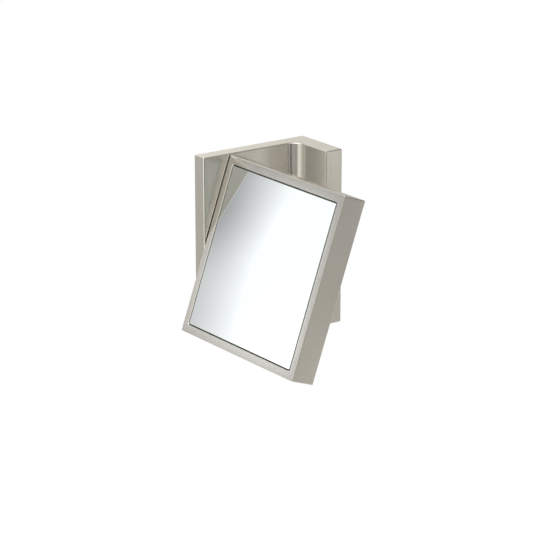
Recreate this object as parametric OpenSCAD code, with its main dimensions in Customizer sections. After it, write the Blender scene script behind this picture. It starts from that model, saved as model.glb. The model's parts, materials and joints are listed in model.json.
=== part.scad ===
// Shaving mirror on an angle bracket.
// The wall lies at y = 0 and the object stands out of it towards -Y, with +Z up. The origin is the
// middle of the flange's wall face, halfway between the two wall screws.

/* [Bracket] */
// Height of the bracket
bracket_h = 175; // [150:1:220]
// How far the arm stands out from the wall
arm_reach = 128; // [128:1:150]
// Width of the wall flange
flange_w = 64; // [60:1:80]
// Thickness of the arm
arm_t = 16; // [16:0.5:20]
// Thickness of the flange
flange_t = 19; // [18:0.5:20]
// Radius of the rounded inner corner
inner_r = 12; // [8:1:12]
// Chamfer along the outer edges of the bracket and the head
edge = 0.6; // [0.3:0.1:1]
// Wall of the bracket casting
skin = 3; // [2.5:0.5:3]

/* [Wall plate] */
// Distance between the two wall screws
screw_spacing = 110; // [80:1:115]
// Diameter of the wall screw holes
screw_hole_d = 5.5; // [4.5:0.5:6.5]

/* [Pivot] */
// Distance from the wall to the pivot axis
axis_out = 115.5; // [115:0.1:115.5]
// Gap between the arm and the head
gap = 1; // [1:0.1:2]
// Diameter of the shaft where it turns
shaft_d = 10; // [9:0.5:10]
// Radial clearance of the shaft in its bushes
shaft_play = 0.03; // [0.01:0.01:0.1]
// Tilt of the head as it stands, face upwards
rest_tilt = 19.5; // [0:0.5:45]

/* [Head] */
// Width of the head
head_w = 181; // [150:1:200]
// Height of the head
head_h = 175; // [150:1:175]
// Depth of the head
head_t = 25; // [25:0.5:26]
// Width of the bezel round the glass
bezel = 8; // [8:0.5:12]
// Wall of the frame behind the bezel
frame_wall = 2.5; // [2:0.25:2.5]
// Corner radius of the glass opening
opening_r = 2; // [1:0.5:4]
// Width of the gap round the glass
glass_gap = 1; // [1:0.1:1.5]
// Thickness of the glass
glass_t = 4; // [3:0.5:4]

/* [Hidden] */
$fn = 64;
over = 1;                               // how far a cut runs past the face it opens
embed = 0.5;                            // how far joined shapes of one piece run into each other

// Fits
bore_fit = 0.02;                        // a pin or bush in its bore, on the radius
tapped_fit = 0.05;                      // a screw in its tapped hole, on the radius
through_fit = 0.2;                      // a screw or shaft in a plain hole, on the radius
sink_fit = 0.1;                         // a screw head in its recess
face_play = 0.05;                       // between faces that turn on each other

// Bracket: x positions of its faces
arm_out_x = -flange_w / 2;
arm_in_x = arm_out_x + arm_t;
flange_end_x = flange_w / 2;
half_h = bracket_h / 2;

// Arm cavity and its cover
cover_rim = 3;                          // metal left round the cover
cover_t = 2;
cover_gap = 0.2;
ledge = 3;                              // shoulder that the cover lies on
cover_y = [-(arm_reach - cover_rim), -(flange_t + cover_rim)];
cover_z = half_h - cover_rim;
cavity_z = cover_z - ledge;             // half height of the deep cavity
seat_x = arm_out_x + cover_t;           // inner face of the cover
skin_mid_x = arm_in_x - skin / 2;       // ribs and the boss end inside the arm's inner wall
rib_t = 2;
rib_z = 42;
rib_x = seat_x + 2;                     // top of the ribs, below the cover

// Hooks at the top of the cover and screw lugs at its bottom
tie_y = [-45, -100];
tie_x = seat_x + 3.75;
hook_t = 1.8;
hook_w = 8;
hook_root = 5.7;                        // height of the block that carries a hook
hook_rise = 2.3;                        // how far a hook stands into its pocket
hook_play = [0.3, 0.8];                 // play beside a hook, and above it
lug = [8, 8, 7];
tie_gap = 0.3;                          // hook blocks and lugs to the cavity's ends

// Screws that hold the arm cover
tie_screw = [1.5, 12];                  // radius and length
tie_head = [2.75, 3];                   // radius and height
tie_socket = [1.4, 1.8];                // six-sided socket: radius and depth

// Wall plate and the pocket in the flange
plate_h = bracket_h - 25;
pocket_w = flange_w - 12;
pocket_d = flange_t - skin;
plate_w = pocket_w - 6;
plate_t = 3;
lip_out = 12;                           // how far the plate's lips stand out from the wall
tongue_t = 2.5;
tongue_h = 4;
tongue_in = 3;                          // the tongue is this much narrower than the plate, each side
tongue_play = [1, 0.4, 0.5];            // its play sideways, from the wall and upwards
lift = 5.2;                             // room to lift the bracket off the tongue

// Grub screws that lock the bracket on the plate
grub_x = 14;
grub_y = -8;
grub_r = 2.5;
grub_tip = 2;                           // radius and height of the cone
grub_in = 0.5;                          // how deep the screws stand in the flange
grub_seat = 0.4;                        // from the cone's foot to the plate's lip
grub_socket = [1.45, 3];

// Pivot stack, along x from the head towards the arm's outer face
head_x = arm_in_x + gap;                // left side of the head
shaft_r = shaft_d / 2;
stub_r = 4;                             // threaded end, and the end held in the block
stub_in = 0.5;                          // the stub ends this far inside the block
flat_z = 3.2;                           // the stub's flat, from its axis
bush_r = 6.5;
bush_l = 2.4;
flange_r = 9;
bush_flange = 1;
boss_x = arm_in_x - 6;                  // end of the boss inside the arm
recess_x = arm_in_x - bush_flange;      // floor of the recess for the front bush's flange
pocket_r = flange_r + 0.2;              // recess for a bush's flange
ring_fit = 0.1;                         // a washer or spring on the shaft, on the radius
key_fit = 0.05;                         // the keyed washer on its flat
stack_x = boss_x - bush_flange - face_play;
washer_t = 1.2;
washer_r = 7.5;
disc_count = 3;
disc_pitch = 0.75;
disc_t = 0.5;
nut_t = 3;
nut_r = 7.5;
shaft_proud = 0.1;
disc_x = stack_x - washer_t;
nut_x = disc_x - disc_count * disc_pitch;
shaft_end_x = nut_x - nut_t - shaft_proud;

// Pivot block inside the head
block_t = 8;
block_x = head_x + frame_wall;
block_y = [-5.5, 8];
block_z = 26;                           // half height
block_screw_z = 17;
block_screw_r = 2;
block_head_r = 4;
block_socket = [1.4, 1.4];
head_cone = block_head_r - block_screw_r;
pin_r = 1.25;
pin_in = 0.2;                           // the pin's ends stand this far inside the block
pin_x = block_x + block_t / 2;

// Head: depths are counted from its front face
half_w = head_w / 2;
half_hh = head_h / 2;
head_mid_x = head_x + half_w;
lip_t = 3;
opening_w = head_w - 2 * bezel;
opening_h = head_h - 2 * bezel;
opening_edge = 0.4;
glass_w = opening_w - 2 * glass_gap;
glass_h = opening_h - 2 * glass_gap;
glass_in = 0.2;                         // the glass sits this far below the bezel
arris = 0.5;
pad_t = 0.8;
pad_w = 20;
pad_in = 12;                            // pads end this far inside the glass
carrier_d = glass_in + glass_t + pad_t;
carrier_t = 1.5;
carrier_gap = 0.3;
inner_w = head_w - 2 * frame_wall;
inner_h = head_h - 2 * frame_wall;
seal_in = 0.2;                          // the gasket's clearance to the glass
seal_w = 3;

// Corner bosses for the carrier, and posts for the back cover
small_screw_r = 1.5;
boss_in = 6;                            // from the head's outer edges
boss_r = 3;
boss_drill = 1.2;                       // depth at which a boss's tapped hole ends
pan_head = [2.7, 1.8];                  // radius and height
pan_cross = [0.6, 3, 1];                // width, length and depth of the cross
pan_foot = 1.5;                         // depth at which the screw ends
post_side = 28;
post = [9, 8];                          // width, and height from inside the frame's wall
post_gap = 0.5;                         // from the carrier
post_drill = 9;
back_t = 2;
back_gap = 0.2;
sink_play = 0.1;                        // play of a countersunk head in its seat
sink_socket = [1.1, 1.2];

// ---- helpers ----

// Box centred on the origin with all twelve edges chamfered.
module chamfer_box(size, c) {
    intersection() {
        linear_extrude(size[2], center = true) chamfer_rect(size[0], size[1], c);
        rotate([90, 0, 0]) linear_extrude(size[1], center = true) chamfer_rect(size[0], size[2], c);
        rotate([90, 0, 90]) linear_extrude(size[0], center = true) chamfer_rect(size[1], size[2], c);
    }
}

// Rectangle centred on the origin with its corners cut at 45 degrees.
module chamfer_rect(w, h, c) {
    polygon([for (s = [[1, 1], [-1, 1], [-1, -1], [1, -1]])
             for (k = s[0] * s[1] > 0 ? [0, 1] : [1, 0])
             [s[0] * (w / 2 - (k == 0 ? 0 : c)), s[1] * (h / 2 - (k == 0 ? c : 0))]]);
}

// Rectangle centred on the origin with round corners.
module round_rect(w, h, r) {
    square([w - 2 * r, h], center = true);
    square([w, h - 2 * r], center = true);
    for (sx = [-1, 1]) {
        for (sz = [-1, 1]) {
            translate([sx * (w / 2 - r), sz * (h / 2 - r)]) circle(r);
        }
    }
}

// Cylinder along X from x = a to x = b.
module rod_x(a, b, r) {
    translate([min(a, b), 0, 0]) rotate([0, 90, 0]) cylinder(h = abs(b - a), r = r);
}

// Washer along X from x = a to x = b.
module ring_x(a, b, r, bore) {
    difference() {
        rod_x(a, b, r);
        rod_x(min(a, b) - over, max(a, b) + over, bore);
    }
}

// Square bars along the four sides of a w by h rectangle, which chamfer its edge by c.
module edge_bars(w, h, r, c, d) {
    bar = c * sqrt(2);
    for (s = [-1, 1]) {
        translate([head_mid_x, depth(d), s * h / 2]) rotate([45, 0, 0])
            cube([w - 2 * r, bar, bar], center = true);
        translate([head_mid_x + s * w / 2, depth(d), 0]) rotate([0, 0, 45])
            cube([bar, bar, h - 2 * r], center = true);
    }
}

// Children drawn at the pivot axis, upright.
module at_axis() {
    translate([0, -axis_out, 0]) children();
}

// Children drawn in the head's own frame: y counts back from the pivot axis, the head leans back.
module in_head() {
    at_axis() rotate([-rest_tilt, 0, 0]) children();
}

// Place in the head's frame of a depth counted from its front face.
function depth(d) = d - head_t / 2;

// A flat shape of the head, drawn in x and z about the head's middle, between two depths.
module layer(d0, d1) {
    translate([head_mid_x, depth(d1), 0]) rotate([90, 0, 0]) linear_extrude(d1 - d0) children();
}

// A hole or rod in the head at place p, between two depths.
module rod_depth(p, d0, d1, r, sides = $fn) {
    translate([head_mid_x + p[0], depth(d1), p[1]]) rotate([90, 0, 0])
        cylinder(h = d1 - d0, r = r, $fn = sides);
}

// Four places, so far from the head's side edges and from its top and bottom.
function corners(dx, dz) =
    [for (sx = [-1, 1]) for (sz = [-1, 1]) [sx * (half_w - dx), sz * (half_hh - dz)]];
boss_places = corners(boss_in, boss_in);
post_places = corners(post_side, frame_wall + post[1] / 2 - embed);

// ---- bracket ----

// Plan of the bracket: arm, flange and the rounded inner corner.
module bracket_plan() {
    difference() {
        polygon([[arm_out_x, 0], [arm_out_x, -arm_reach], [arm_in_x - edge, -arm_reach],
                 [arm_in_x, -arm_reach + edge], [arm_in_x, -flange_t - inner_r],
                 [arm_in_x + inner_r, -flange_t], [flange_end_x - edge, -flange_t],
                 [flange_end_x, -flange_t + edge], [flange_end_x, 0]]);
        translate([arm_in_x + inner_r, -flange_t - inner_r]) circle(inner_r);
    }
}

// Quarter of a cone that chamfers the end of the rounded inner corner.
module corner_chamfer() {
    intersection() {
        cylinder(h = edge, r1 = inner_r, r2 = inner_r + edge);
        translate([-2 * inner_r, 0, 0]) cube([2 * inner_r, 2 * inner_r, edge]);
    }
}

// Section of the cut that chamfers a straight edge: the metal is below it and to its left.
module edge_section() {
    polygon([[-edge, 0], [0, -edge], [over, -edge], [over, over], [-edge, over]]);
}

// Cuts along the arm's and the flange's inner edges and round the corner between them.
module inner_edges() {
    translate([0, -inner_r, 0]) rotate([90, 0, 0])
        linear_extrude(arm_reach - flange_t - inner_r) edge_section();
    translate([inner_r, 0, 0]) mirror([0, 1, 0]) rotate([90, 0, 90])
        linear_extrude(flange_w - arm_t - inner_r) edge_section();
    translate([inner_r, -inner_r, -edge]) corner_chamfer();
}

// The bracket's outer form, with every edge chamfered.
module bracket_form() {
    difference() {
        intersection() {
            linear_extrude(bracket_h, center = true) bracket_plan();
            translate([0, -arm_reach / 2, 0]) chamfer_box([flange_w, arm_reach, bracket_h], edge);
        }
        for (turn = [0, 1]) {
            mirror([0, 0, turn]) translate([arm_in_x, -flange_t, half_h]) inner_edges();
        }
    }
}

// Hollow of the arm: the shallow seat of the cover, the deep cavity and the pocket round the pivot.
module arm_hollow() {
    seat_l = cover_y[1] - cover_y[0];
    translate([arm_out_x - over, cover_y[0], -cover_z])
        cube([cover_t + over, seat_l, 2 * cover_z]);
    translate([arm_out_x, cover_y[0] + ledge, -cavity_z])
        cube([arm_t - skin, seat_l - 2 * ledge, 2 * cavity_z]);
    at_axis() rod_x(seat_x - over, boss_x, pocket_r);
}

// Ribs across the arm's cavity, and one from the pivot's boss towards the wall.
module arm_ribs() {
    run = cover_y[1] - cover_y[0];
    for (z = [-rib_z, rib_z]) {
        translate([rib_x, cover_y[0] + ledge / 2, z - rib_t / 2])
            cube([skin_mid_x - rib_x, run - ledge, rib_t]);
    }
    translate([boss_x, -axis_out, -rib_t / 2]) cube([skin_mid_x - boss_x, run / 2, rib_t]);
}

// Pockets for the cover's hooks and holes for its screws.
module arm_ties() {
    pocket = [hook_t + 2 * hook_play[0], hook_w + 2 * hook_play[0], hook_rise + hook_play[1] + tie_gap];
    for (y = tie_y) {
        translate([tie_x - pocket[0] / 2, y - pocket[1] / 2, cavity_z - tie_gap]) cube(pocket);
        translate([tie_x, y, -half_h - over]) {
            cylinder(h = half_h - cavity_z + 2 * over, r = tie_screw[0] + through_fit);
            cylinder(h = tie_head[1] + sink_fit + over, r = tie_head[0] + sink_fit);
        }
    }
}

// Pocket in the flange for the wall plate, with the slot for its tongue and the tapped holes.
module flange_pocket() {
    bottom = -plate_h / 2 - lift;
    slot_w = plate_w - 2 * (tongue_in - tongue_play[0]);
    translate([-pocket_w / 2, -pocket_d, bottom]) cube([pocket_w, pocket_d + over, plate_h / 2 - bottom]);
    translate([-slot_w / 2, -lip_out - tongue_play[1], plate_h / 2 - over])
        cube([slot_w, tongue_t + 2 * tongue_play[1], tongue_h + tongue_play[2] + over]);
    for (s = [-1, 1]) {
        translate([s * grub_x, grub_y, -half_h - over])
            cylinder(h = half_h - plate_h / 2 + over, r = grub_r + tapped_fit);
    }
}

module bracket_shell() {
    color([0.66, 0.64, 0.60]) difference() {
        union() {
            difference() {
                bracket_form();
                arm_hollow();
            }
            arm_ribs();
            at_axis() rod_x(boss_x, skin_mid_x, pocket_r);
        }
        at_axis() rod_x(boss_x - over, arm_in_x + over, bush_r + bore_fit);
        at_axis() rod_x(recess_x, arm_in_x + over, pocket_r);
        arm_ties();
        flange_pocket();
    }
}

module wall_plate() {
    color([0.75, 0.76, 0.77]) difference() {
        union() {
            translate([-plate_w / 2, -plate_t, -plate_h / 2]) cube([plate_w, plate_t, plate_h]);
            for (z = [-plate_h / 2, plate_h / 2 - plate_t]) {
                translate([-plate_w / 2, -lip_out, z]) cube([plate_w, lip_out, plate_t]);
            }
            translate([-plate_w / 2 + tongue_in, -lip_out, plate_h / 2 - plate_t])
                cube([plate_w - 2 * tongue_in, tongue_t, plate_t + tongue_h]);
        }
        for (s = [-1, 1]) {
            translate([0, over, s * screw_spacing / 2]) rotate([90, 0, 0])
                cylinder(h = plate_t + 2 * over, r = screw_hole_d / 2);
            translate([s * grub_x, grub_y, -plate_h / 2 - over])
                cylinder(h = plate_t + 2 * over, r = grub_tip + through_fit);
        }
    }
}

module set_screws() {
    foot_z = -half_h + grub_in;
    cone_z = -plate_h / 2 - grub_seat;
    color([0.30, 0.30, 0.31]) for (s = [-1, 1]) {
        translate([s * grub_x, grub_y, 0]) difference() {
            union() {
                translate([0, 0, foot_z]) cylinder(h = cone_z - foot_z, r = grub_r);
                translate([0, 0, cone_z]) cylinder(h = grub_tip, r1 = grub_tip, r2 = grub_tip / 2);
            }
            translate([0, 0, foot_z - over])
                cylinder(h = grub_socket[1] + over, r = grub_socket[0], $fn = 6);
        }
    }
}

module arm_cover() {
    panel_w = cover_y[1] - cover_y[0] - 2 * cover_gap;
    root_x = seat_x - embed;
    color([0.66, 0.64, 0.60]) difference() {
        union() {
            translate([arm_out_x, cover_y[0] + cover_gap, -cover_z + cover_gap])
                cube([cover_t, panel_w, 2 * (cover_z - cover_gap)]);
            for (y = tie_y) {
                translate([root_x, y - hook_w / 2, cavity_z - tie_gap - hook_root])
                    cube([tie_x + hook_t / 2 - root_x, hook_w, hook_root]);
                translate([tie_x - hook_t / 2, y - hook_w / 2, cavity_z - tie_gap - embed])
                    cube([hook_t, hook_w, hook_rise + tie_gap + embed]);
                translate([root_x, y - lug[1] / 2, -cavity_z + tie_gap]) cube(lug);
            }
        }
        for (y = tie_y) {
            translate([tie_x, y, -cavity_z - over])
                cylinder(h = tie_gap + lug[2] + 2 * over, r = tie_screw[0] + tapped_fit);
        }
    }
}

module cover_screws() {
    color([0.62, 0.61, 0.58]) for (y = tie_y) {
        translate([tie_x, y, -half_h + sink_fit]) difference() {
            union() {
                cylinder(h = tie_head[1], r = tie_head[0]);
                cylinder(h = tie_screw[1], r = tie_screw[0]);
            }
            translate([0, 0, -over]) cylinder(h = tie_socket[1] + over, r = tie_socket[0], $fn = 6);
        }
    }
}

// ---- pivot ----

// Flanged bush: its flange from x = face outwards (side +1 or -1), its sleeve the other way.
module bush(face, side) {
    difference() {
        union() {
            rod_x(face, face + side * bush_flange, flange_r);
            rod_x(face - side * bush_l, face + side * embed, bush_r);
        }
        rod_x(face - bush_l - over, face + bush_l + over, shaft_r + shaft_play);
    }
}

module front_bush() {
    color([0.88, 0.88, 0.86]) at_axis() bush(recess_x, 1);
}

module rear_bush() {
    color([0.88, 0.88, 0.86]) at_axis() bush(boss_x, -1);
}

// What a flat takes off the stub, from x = a to x = b, at a height above the axis.
module flat_cut(a, b, height) {
    translate([a, -stub_r - over, height]) cube([b - a, 2 * (stub_r + over), stub_r]);
}

// Cross hole for the pin, from the block's front to its back.
module pin_hole() {
    translate([pin_x, block_y[1] + over, 0]) rotate([90, 0, 0])
        cylinder(h = block_y[1] - block_y[0] + 2 * over, r = pin_r + bore_fit);
}

module pivot_shaft() {
    color([0.70, 0.71, 0.73]) in_head() difference() {
        union() {
            rod_x(stack_x, block_x, shaft_r);
            rod_x(block_x - embed, block_x + block_t - stub_in, stub_r);
            difference() {
                rod_x(shaft_end_x, stack_x + embed, stub_r);
                flat_cut(shaft_end_x - over, stack_x, flat_z);
            }
        }
        pin_hole();
    }
}

module pivot_block() {
    color([0.55, 0.56, 0.58]) in_head() difference() {
        translate([block_x, block_y[0], -block_z])
            cube([block_t, block_y[1] - block_y[0], 2 * block_z]);
        rod_x(block_x - over, block_x + block_t + over, stub_r + bore_fit);
        pin_hole();
        for (s = [-1, 1]) {
            translate([0, 0, s * block_screw_z])
                rod_x(block_x - over, block_x + block_t + over, block_screw_r + tapped_fit);
        }
    }
}

module shaft_pin() {
    color([0.80, 0.80, 0.82]) in_head() translate([pin_x, block_y[1] - pin_in, 0]) rotate([90, 0, 0])
        cylinder(h = block_y[1] - block_y[0] - 2 * pin_in, r = pin_r);
}

module block_screws() {
    color([0.75, 0.76, 0.77]) in_head() for (s = [-1, 1]) {
        translate([head_x, 0, s * block_screw_z]) difference() {
            union() {
                rotate([0, 90, 0]) cylinder(h = head_cone, r1 = block_head_r, r2 = block_screw_r);
                rod_x(head_cone - embed, block_t, block_screw_r);
            }
            translate([-over, 0, 0]) rotate([0, 90, 0])
                cylinder(h = block_socket[1] + over, r = block_socket[0], $fn = 6);
        }
    }
}

module thrust_washer() {
    color([0.80, 0.80, 0.82]) at_axis()
        ring_x(arm_in_x + face_play, head_x, flange_r, shaft_r + ring_fit);
}

module pressure_washer() {
    color([0.75, 0.76, 0.77]) in_head() difference() {
        rod_x(disc_x, stack_x, washer_r);
        difference() {
            rod_x(disc_x - over, stack_x + over, stub_r + key_fit);
            flat_cut(disc_x - 2 * over, stack_x + 2 * over, flat_z + key_fit);
        }
    }
}

module disc_springs() {
    rise = disc_pitch - disc_t;
    bore = stub_r + ring_fit;
    color([0.45, 0.45, 0.47]) at_axis() for (k = [0 : disc_count - 1]) {
        translate([disc_x - k * disc_pitch, 0, 0]) rotate([0, -90, 0]) rotate_extrude()
            translate([0, k % 2 == 0 ? 0 : disc_pitch]) scale([1, k % 2 == 0 ? 1 : -1])
            polygon([[bore, 0], [washer_r, rise], [washer_r, disc_pitch], [bore, disc_t]]);
    }
}

module lock_nut() {
    color([0.78, 0.79, 0.80]) in_head() difference() {
        translate([nut_x - nut_t, 0, 0]) rotate([0, 90, 0]) cylinder(h = nut_t, r = nut_r, $fn = 6);
        rod_x(nut_x - nut_t - over, nut_x + over, stub_r + tapped_fit);
    }
}

// ---- head ----

// Holes through the frame's left wall for the shaft and the block's screws.
module pivot_holes() {
    rod_x(head_x - over, block_x + over, shaft_r + through_fit);
    for (s = [-1, 1]) {
        translate([0, 0, s * block_screw_z]) {
            rod_x(head_x - over, block_x + over, block_screw_r + through_fit);
            translate([head_x - sink_fit / 2, 0, 0]) rotate([0, 90, 0])
                cylinder(h = head_cone, r1 = block_head_r + sink_fit, r2 = block_screw_r + sink_fit);
        }
    }
}

// The frame without its bosses: a tray with a lip round the glass.
module tray() {
    difference() {
        translate([head_mid_x, 0, 0]) chamfer_box([head_w, head_t, head_h], edge);
        layer(lip_t, head_t + over) square([inner_w, inner_h], center = true);
        layer(-over, lip_t + over) round_rect(opening_w, opening_h, opening_r);
        edge_bars(opening_w, opening_h, opening_r, opening_edge, 0);
    }
}

module mirror_frame() {
    post_end = head_t - back_t;
    color([0.66, 0.64, 0.60]) in_head() difference() {
        union() {
            tray();
            for (p = boss_places) {
                rod_depth(p, lip_t - embed, carrier_d, boss_r);
            }
            for (p = post_places) {
                layer(carrier_d + carrier_t + post_gap, post_end)
                    translate(p) square(post, center = true);
            }
        }
        pivot_holes();
        for (p = boss_places) {
            rod_depth(p, boss_drill, carrier_d + over, small_screw_r + tapped_fit);
        }
        for (p = post_places) {
            rod_depth(p, post_end - post_drill, post_end + over, small_screw_r + tapped_fit);
        }
    }
}

module glass_gasket() {
    color([0.06, 0.06, 0.06]) in_head() difference() {
        layer(lip_t, carrier_d) difference() {
            round_rect(glass_w + 2 * (seal_in + seal_w), glass_h + 2 * (seal_in + seal_w), opening_r);
            round_rect(glass_w + 2 * seal_in, glass_h + 2 * seal_in, opening_r);
        }
        for (p = boss_places) {
            rod_depth(p, 0, carrier_d + over, boss_r + through_fit);
        }
    }
}

module mirror_glass() {
    color([0.80, 0.85, 0.88]) in_head() difference() {
        layer(glass_in, glass_in + glass_t) round_rect(glass_w, glass_h, opening_r - glass_gap / 2);
        edge_bars(glass_w, glass_h, opening_r, arris, glass_in);
    }
}

module adhesive_pads() {
    color([0.20, 0.20, 0.21]) in_head() for (s = [-1, 0, 1]) {
        layer(carrier_d - pad_t, carrier_d)
            translate([s * glass_w / 3, 0]) square([pad_w, glass_h - 2 * pad_in], center = true);
    }
}

module carrier_plate() {
    color([0.72, 0.73, 0.74]) in_head() difference() {
        layer(carrier_d, carrier_d + carrier_t)
            square([inner_w - 2 * carrier_gap, inner_h - 2 * carrier_gap], center = true);
        for (p = boss_places) {
            rod_depth(p, 0, head_t, small_screw_r + through_fit);
        }
    }
}

module carrier_screws() {
    under = carrier_d + carrier_t;
    crown = under + pan_head[1];
    color([0.75, 0.76, 0.77]) in_head() for (p = boss_places) {
        difference() {
            union() {
                rod_depth(p, under, crown, pan_head[0]);
                rod_depth(p, pan_foot, under + embed, small_screw_r);
            }
            translate([head_mid_x + p[0], depth(crown), p[1]]) for (turn = [0, 90]) {
                rotate([0, turn, 0]) cube([pan_cross[0], 2 * pan_cross[2], pan_cross[1]], center = true);
            }
        }
    }
}

// Cone of a countersunk head at place p, sunk below the back, larger than the screw by play.
module sink_cone(p, below, play) {
    translate([head_mid_x + p[0], depth(head_t) - below, p[1]]) rotate([90, 0, 0])
        cylinder(h = small_screw_r + 2 * play, r1 = 2 * small_screw_r + 3 * play,
                 r2 = small_screw_r + play);
}

module back_cover() {
    color([0.66, 0.64, 0.60]) in_head() difference() {
        layer(head_t - back_t, head_t)
            square([inner_w - 2 * back_gap, inner_h - 2 * back_gap], center = true);
        for (p = post_places) {
            rod_depth(p, 0, head_t + over, small_screw_r + sink_play);
            sink_cone(p, -sink_play, sink_play);
        }
    }
}

module back_cover_screws() {
    color([0.62, 0.61, 0.58]) in_head() for (p = post_places) {
        difference() {
            union() {
                sink_cone(p, sink_play, 0);
                rod_depth(p, head_t - post_drill, head_t - 2 * embed, small_screw_r);
            }
            rod_depth(p, head_t - sink_socket[1], head_t + over, sink_socket[0], 6);
        }
    }
}

wall_plate();
set_screws();
bracket_shell();
arm_cover();
cover_screws();
front_bush();
rear_bush();
pivot_shaft();
pivot_block();
shaft_pin();
block_screws();
thrust_washer();
pressure_washer();
disc_springs();
lock_nut();
mirror_frame();
glass_gasket();
mirror_glass();
adhesive_pads();
carrier_plate();
carrier_screws();
back_cover();
back_cover_screws();
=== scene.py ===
"""Shaving mirror on an angle bracket: the visual model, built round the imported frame.

The wall is the plane y = 0, the object stands out of it towards -Y and +Z is up. Pieces are worked
out in millimetres, those of the head upright about the pivot axis, and turned into metres in the
row frame when they are finished.
"""

import json
import logging
import math
from dataclasses import dataclass, field
from enum import Enum
from typing import Optional, Sequence, Union

import bmesh
import bpy
import numpy as np
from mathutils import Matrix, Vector


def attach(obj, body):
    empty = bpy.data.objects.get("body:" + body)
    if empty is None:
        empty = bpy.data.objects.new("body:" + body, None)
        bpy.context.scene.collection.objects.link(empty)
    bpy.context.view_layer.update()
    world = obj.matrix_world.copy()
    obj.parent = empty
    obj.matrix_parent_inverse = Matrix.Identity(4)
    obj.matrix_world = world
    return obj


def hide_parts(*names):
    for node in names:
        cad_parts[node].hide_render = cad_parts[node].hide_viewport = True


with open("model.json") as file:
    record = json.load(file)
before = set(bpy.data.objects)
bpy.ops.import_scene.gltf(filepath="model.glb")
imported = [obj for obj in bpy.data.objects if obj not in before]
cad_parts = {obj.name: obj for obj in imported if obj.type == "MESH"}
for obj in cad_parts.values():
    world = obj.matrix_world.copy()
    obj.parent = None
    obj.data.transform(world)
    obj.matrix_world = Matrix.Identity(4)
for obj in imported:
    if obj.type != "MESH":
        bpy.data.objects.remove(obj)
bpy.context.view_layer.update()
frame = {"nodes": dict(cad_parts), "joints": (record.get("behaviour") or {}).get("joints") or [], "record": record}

log = logging.getLogger("shaving_mirror")
Colour = tuple[float, float, float]
Point = tuple[float, float, float]
Spot = tuple[float, float]
Form = bpy.types.Object
Socket = bpy.types.NodeSocket
Value = Union[Socket, float, tuple]
MM = 0.001

# Facets round a turned shape, their angles, and facets across a rounded rim.
COLUMNS = 48
TURNS = np.arange(COLUMNS) * (2 * math.pi / COLUMNS)
RIM_FACETS = 3
# Points within this many millimetres become one, and edges under this many degrees are shaded smooth.
WELD = 0.0005
SMOOTH_BELOW = 38.0
# One less the cosine of the bend that counts as fully sharp, and the upright share of a level face's normal.
FULL_BEND = 0.13
LEVEL_ABOVE = 0.7
# The range that a noise texture really fills, and Map Range's smooth step.
NOISE_SPAN = (0.28, 0.72)
SMOOTH = "SMOOTHSTEP"


class Body(Enum):
    """The CAD body that a piece moves with."""

    BRACKET = "bracket"
    HEAD = "head"


class Along(Enum):
    """Axis that a shape is drawn along: the row axes of its outline's u and v, and of its height."""

    X = (1, 2, 0)
    Y = (0, 2, 1)
    Z = (0, 1, 2)


X, Y, Z = Along


class Cut(Enum):
    """What a tool shape does to a piece."""

    CARVE = "DIFFERENCE"
    ADD = "UNION"


class Lay(Enum):
    """Which way the marks of a finish run on a piece."""

    UPRIGHT = "upright"
    SIDEWAYS = "sideways"
    TURNED = "turned"


# ---- the head's place ----

@dataclass(frozen=True)
class HeadPlace:
    """Where the head stands: turned about the pivot axis by its tilt.

    Points are handled in the head's own upright frame, whose origin is on the pivot axis, with x as
    in the row frame, y back from the glass and z up along the frame's sides.
    """

    axis: Point
    tilt: float

    @classmethod
    def from_frame(cls) -> "HeadPlace":
        """Reads the axis from the joint and the tilt from the largest flat face of the glass.

        Returns:
            The head's place at rest.
        """
        polygons = frame["nodes"]["mirror_glass"].data.polygons
        normals, areas = read(polygons, "normal", 3), read(polygons, "area", 1)
        front = normals[np.argmax(np.where(normals[:, 1] < 0, areas, 0))]
        return cls(tuple(frame["joints"][0]["pos_m"]), math.degrees(math.atan2(front[2], -front[1])))

    def turn(self) -> np.ndarray:
        """The rotation that leans the head back, as a 3 by 3 matrix."""
        c, s = math.cos(math.radians(-self.tilt)), math.sin(math.radians(-self.tilt))
        return np.array([[1, 0, 0], [0, c, -s], [0, s, c]])

    def to_row(self, points: np.ndarray) -> np.ndarray:
        """Points, shape (n, 3), from the head frame to the row frame."""
        return points @ self.turn().T + np.array(self.axis)


# ---- flat outlines and the surfaces drawn from them, in millimetres ----

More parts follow.
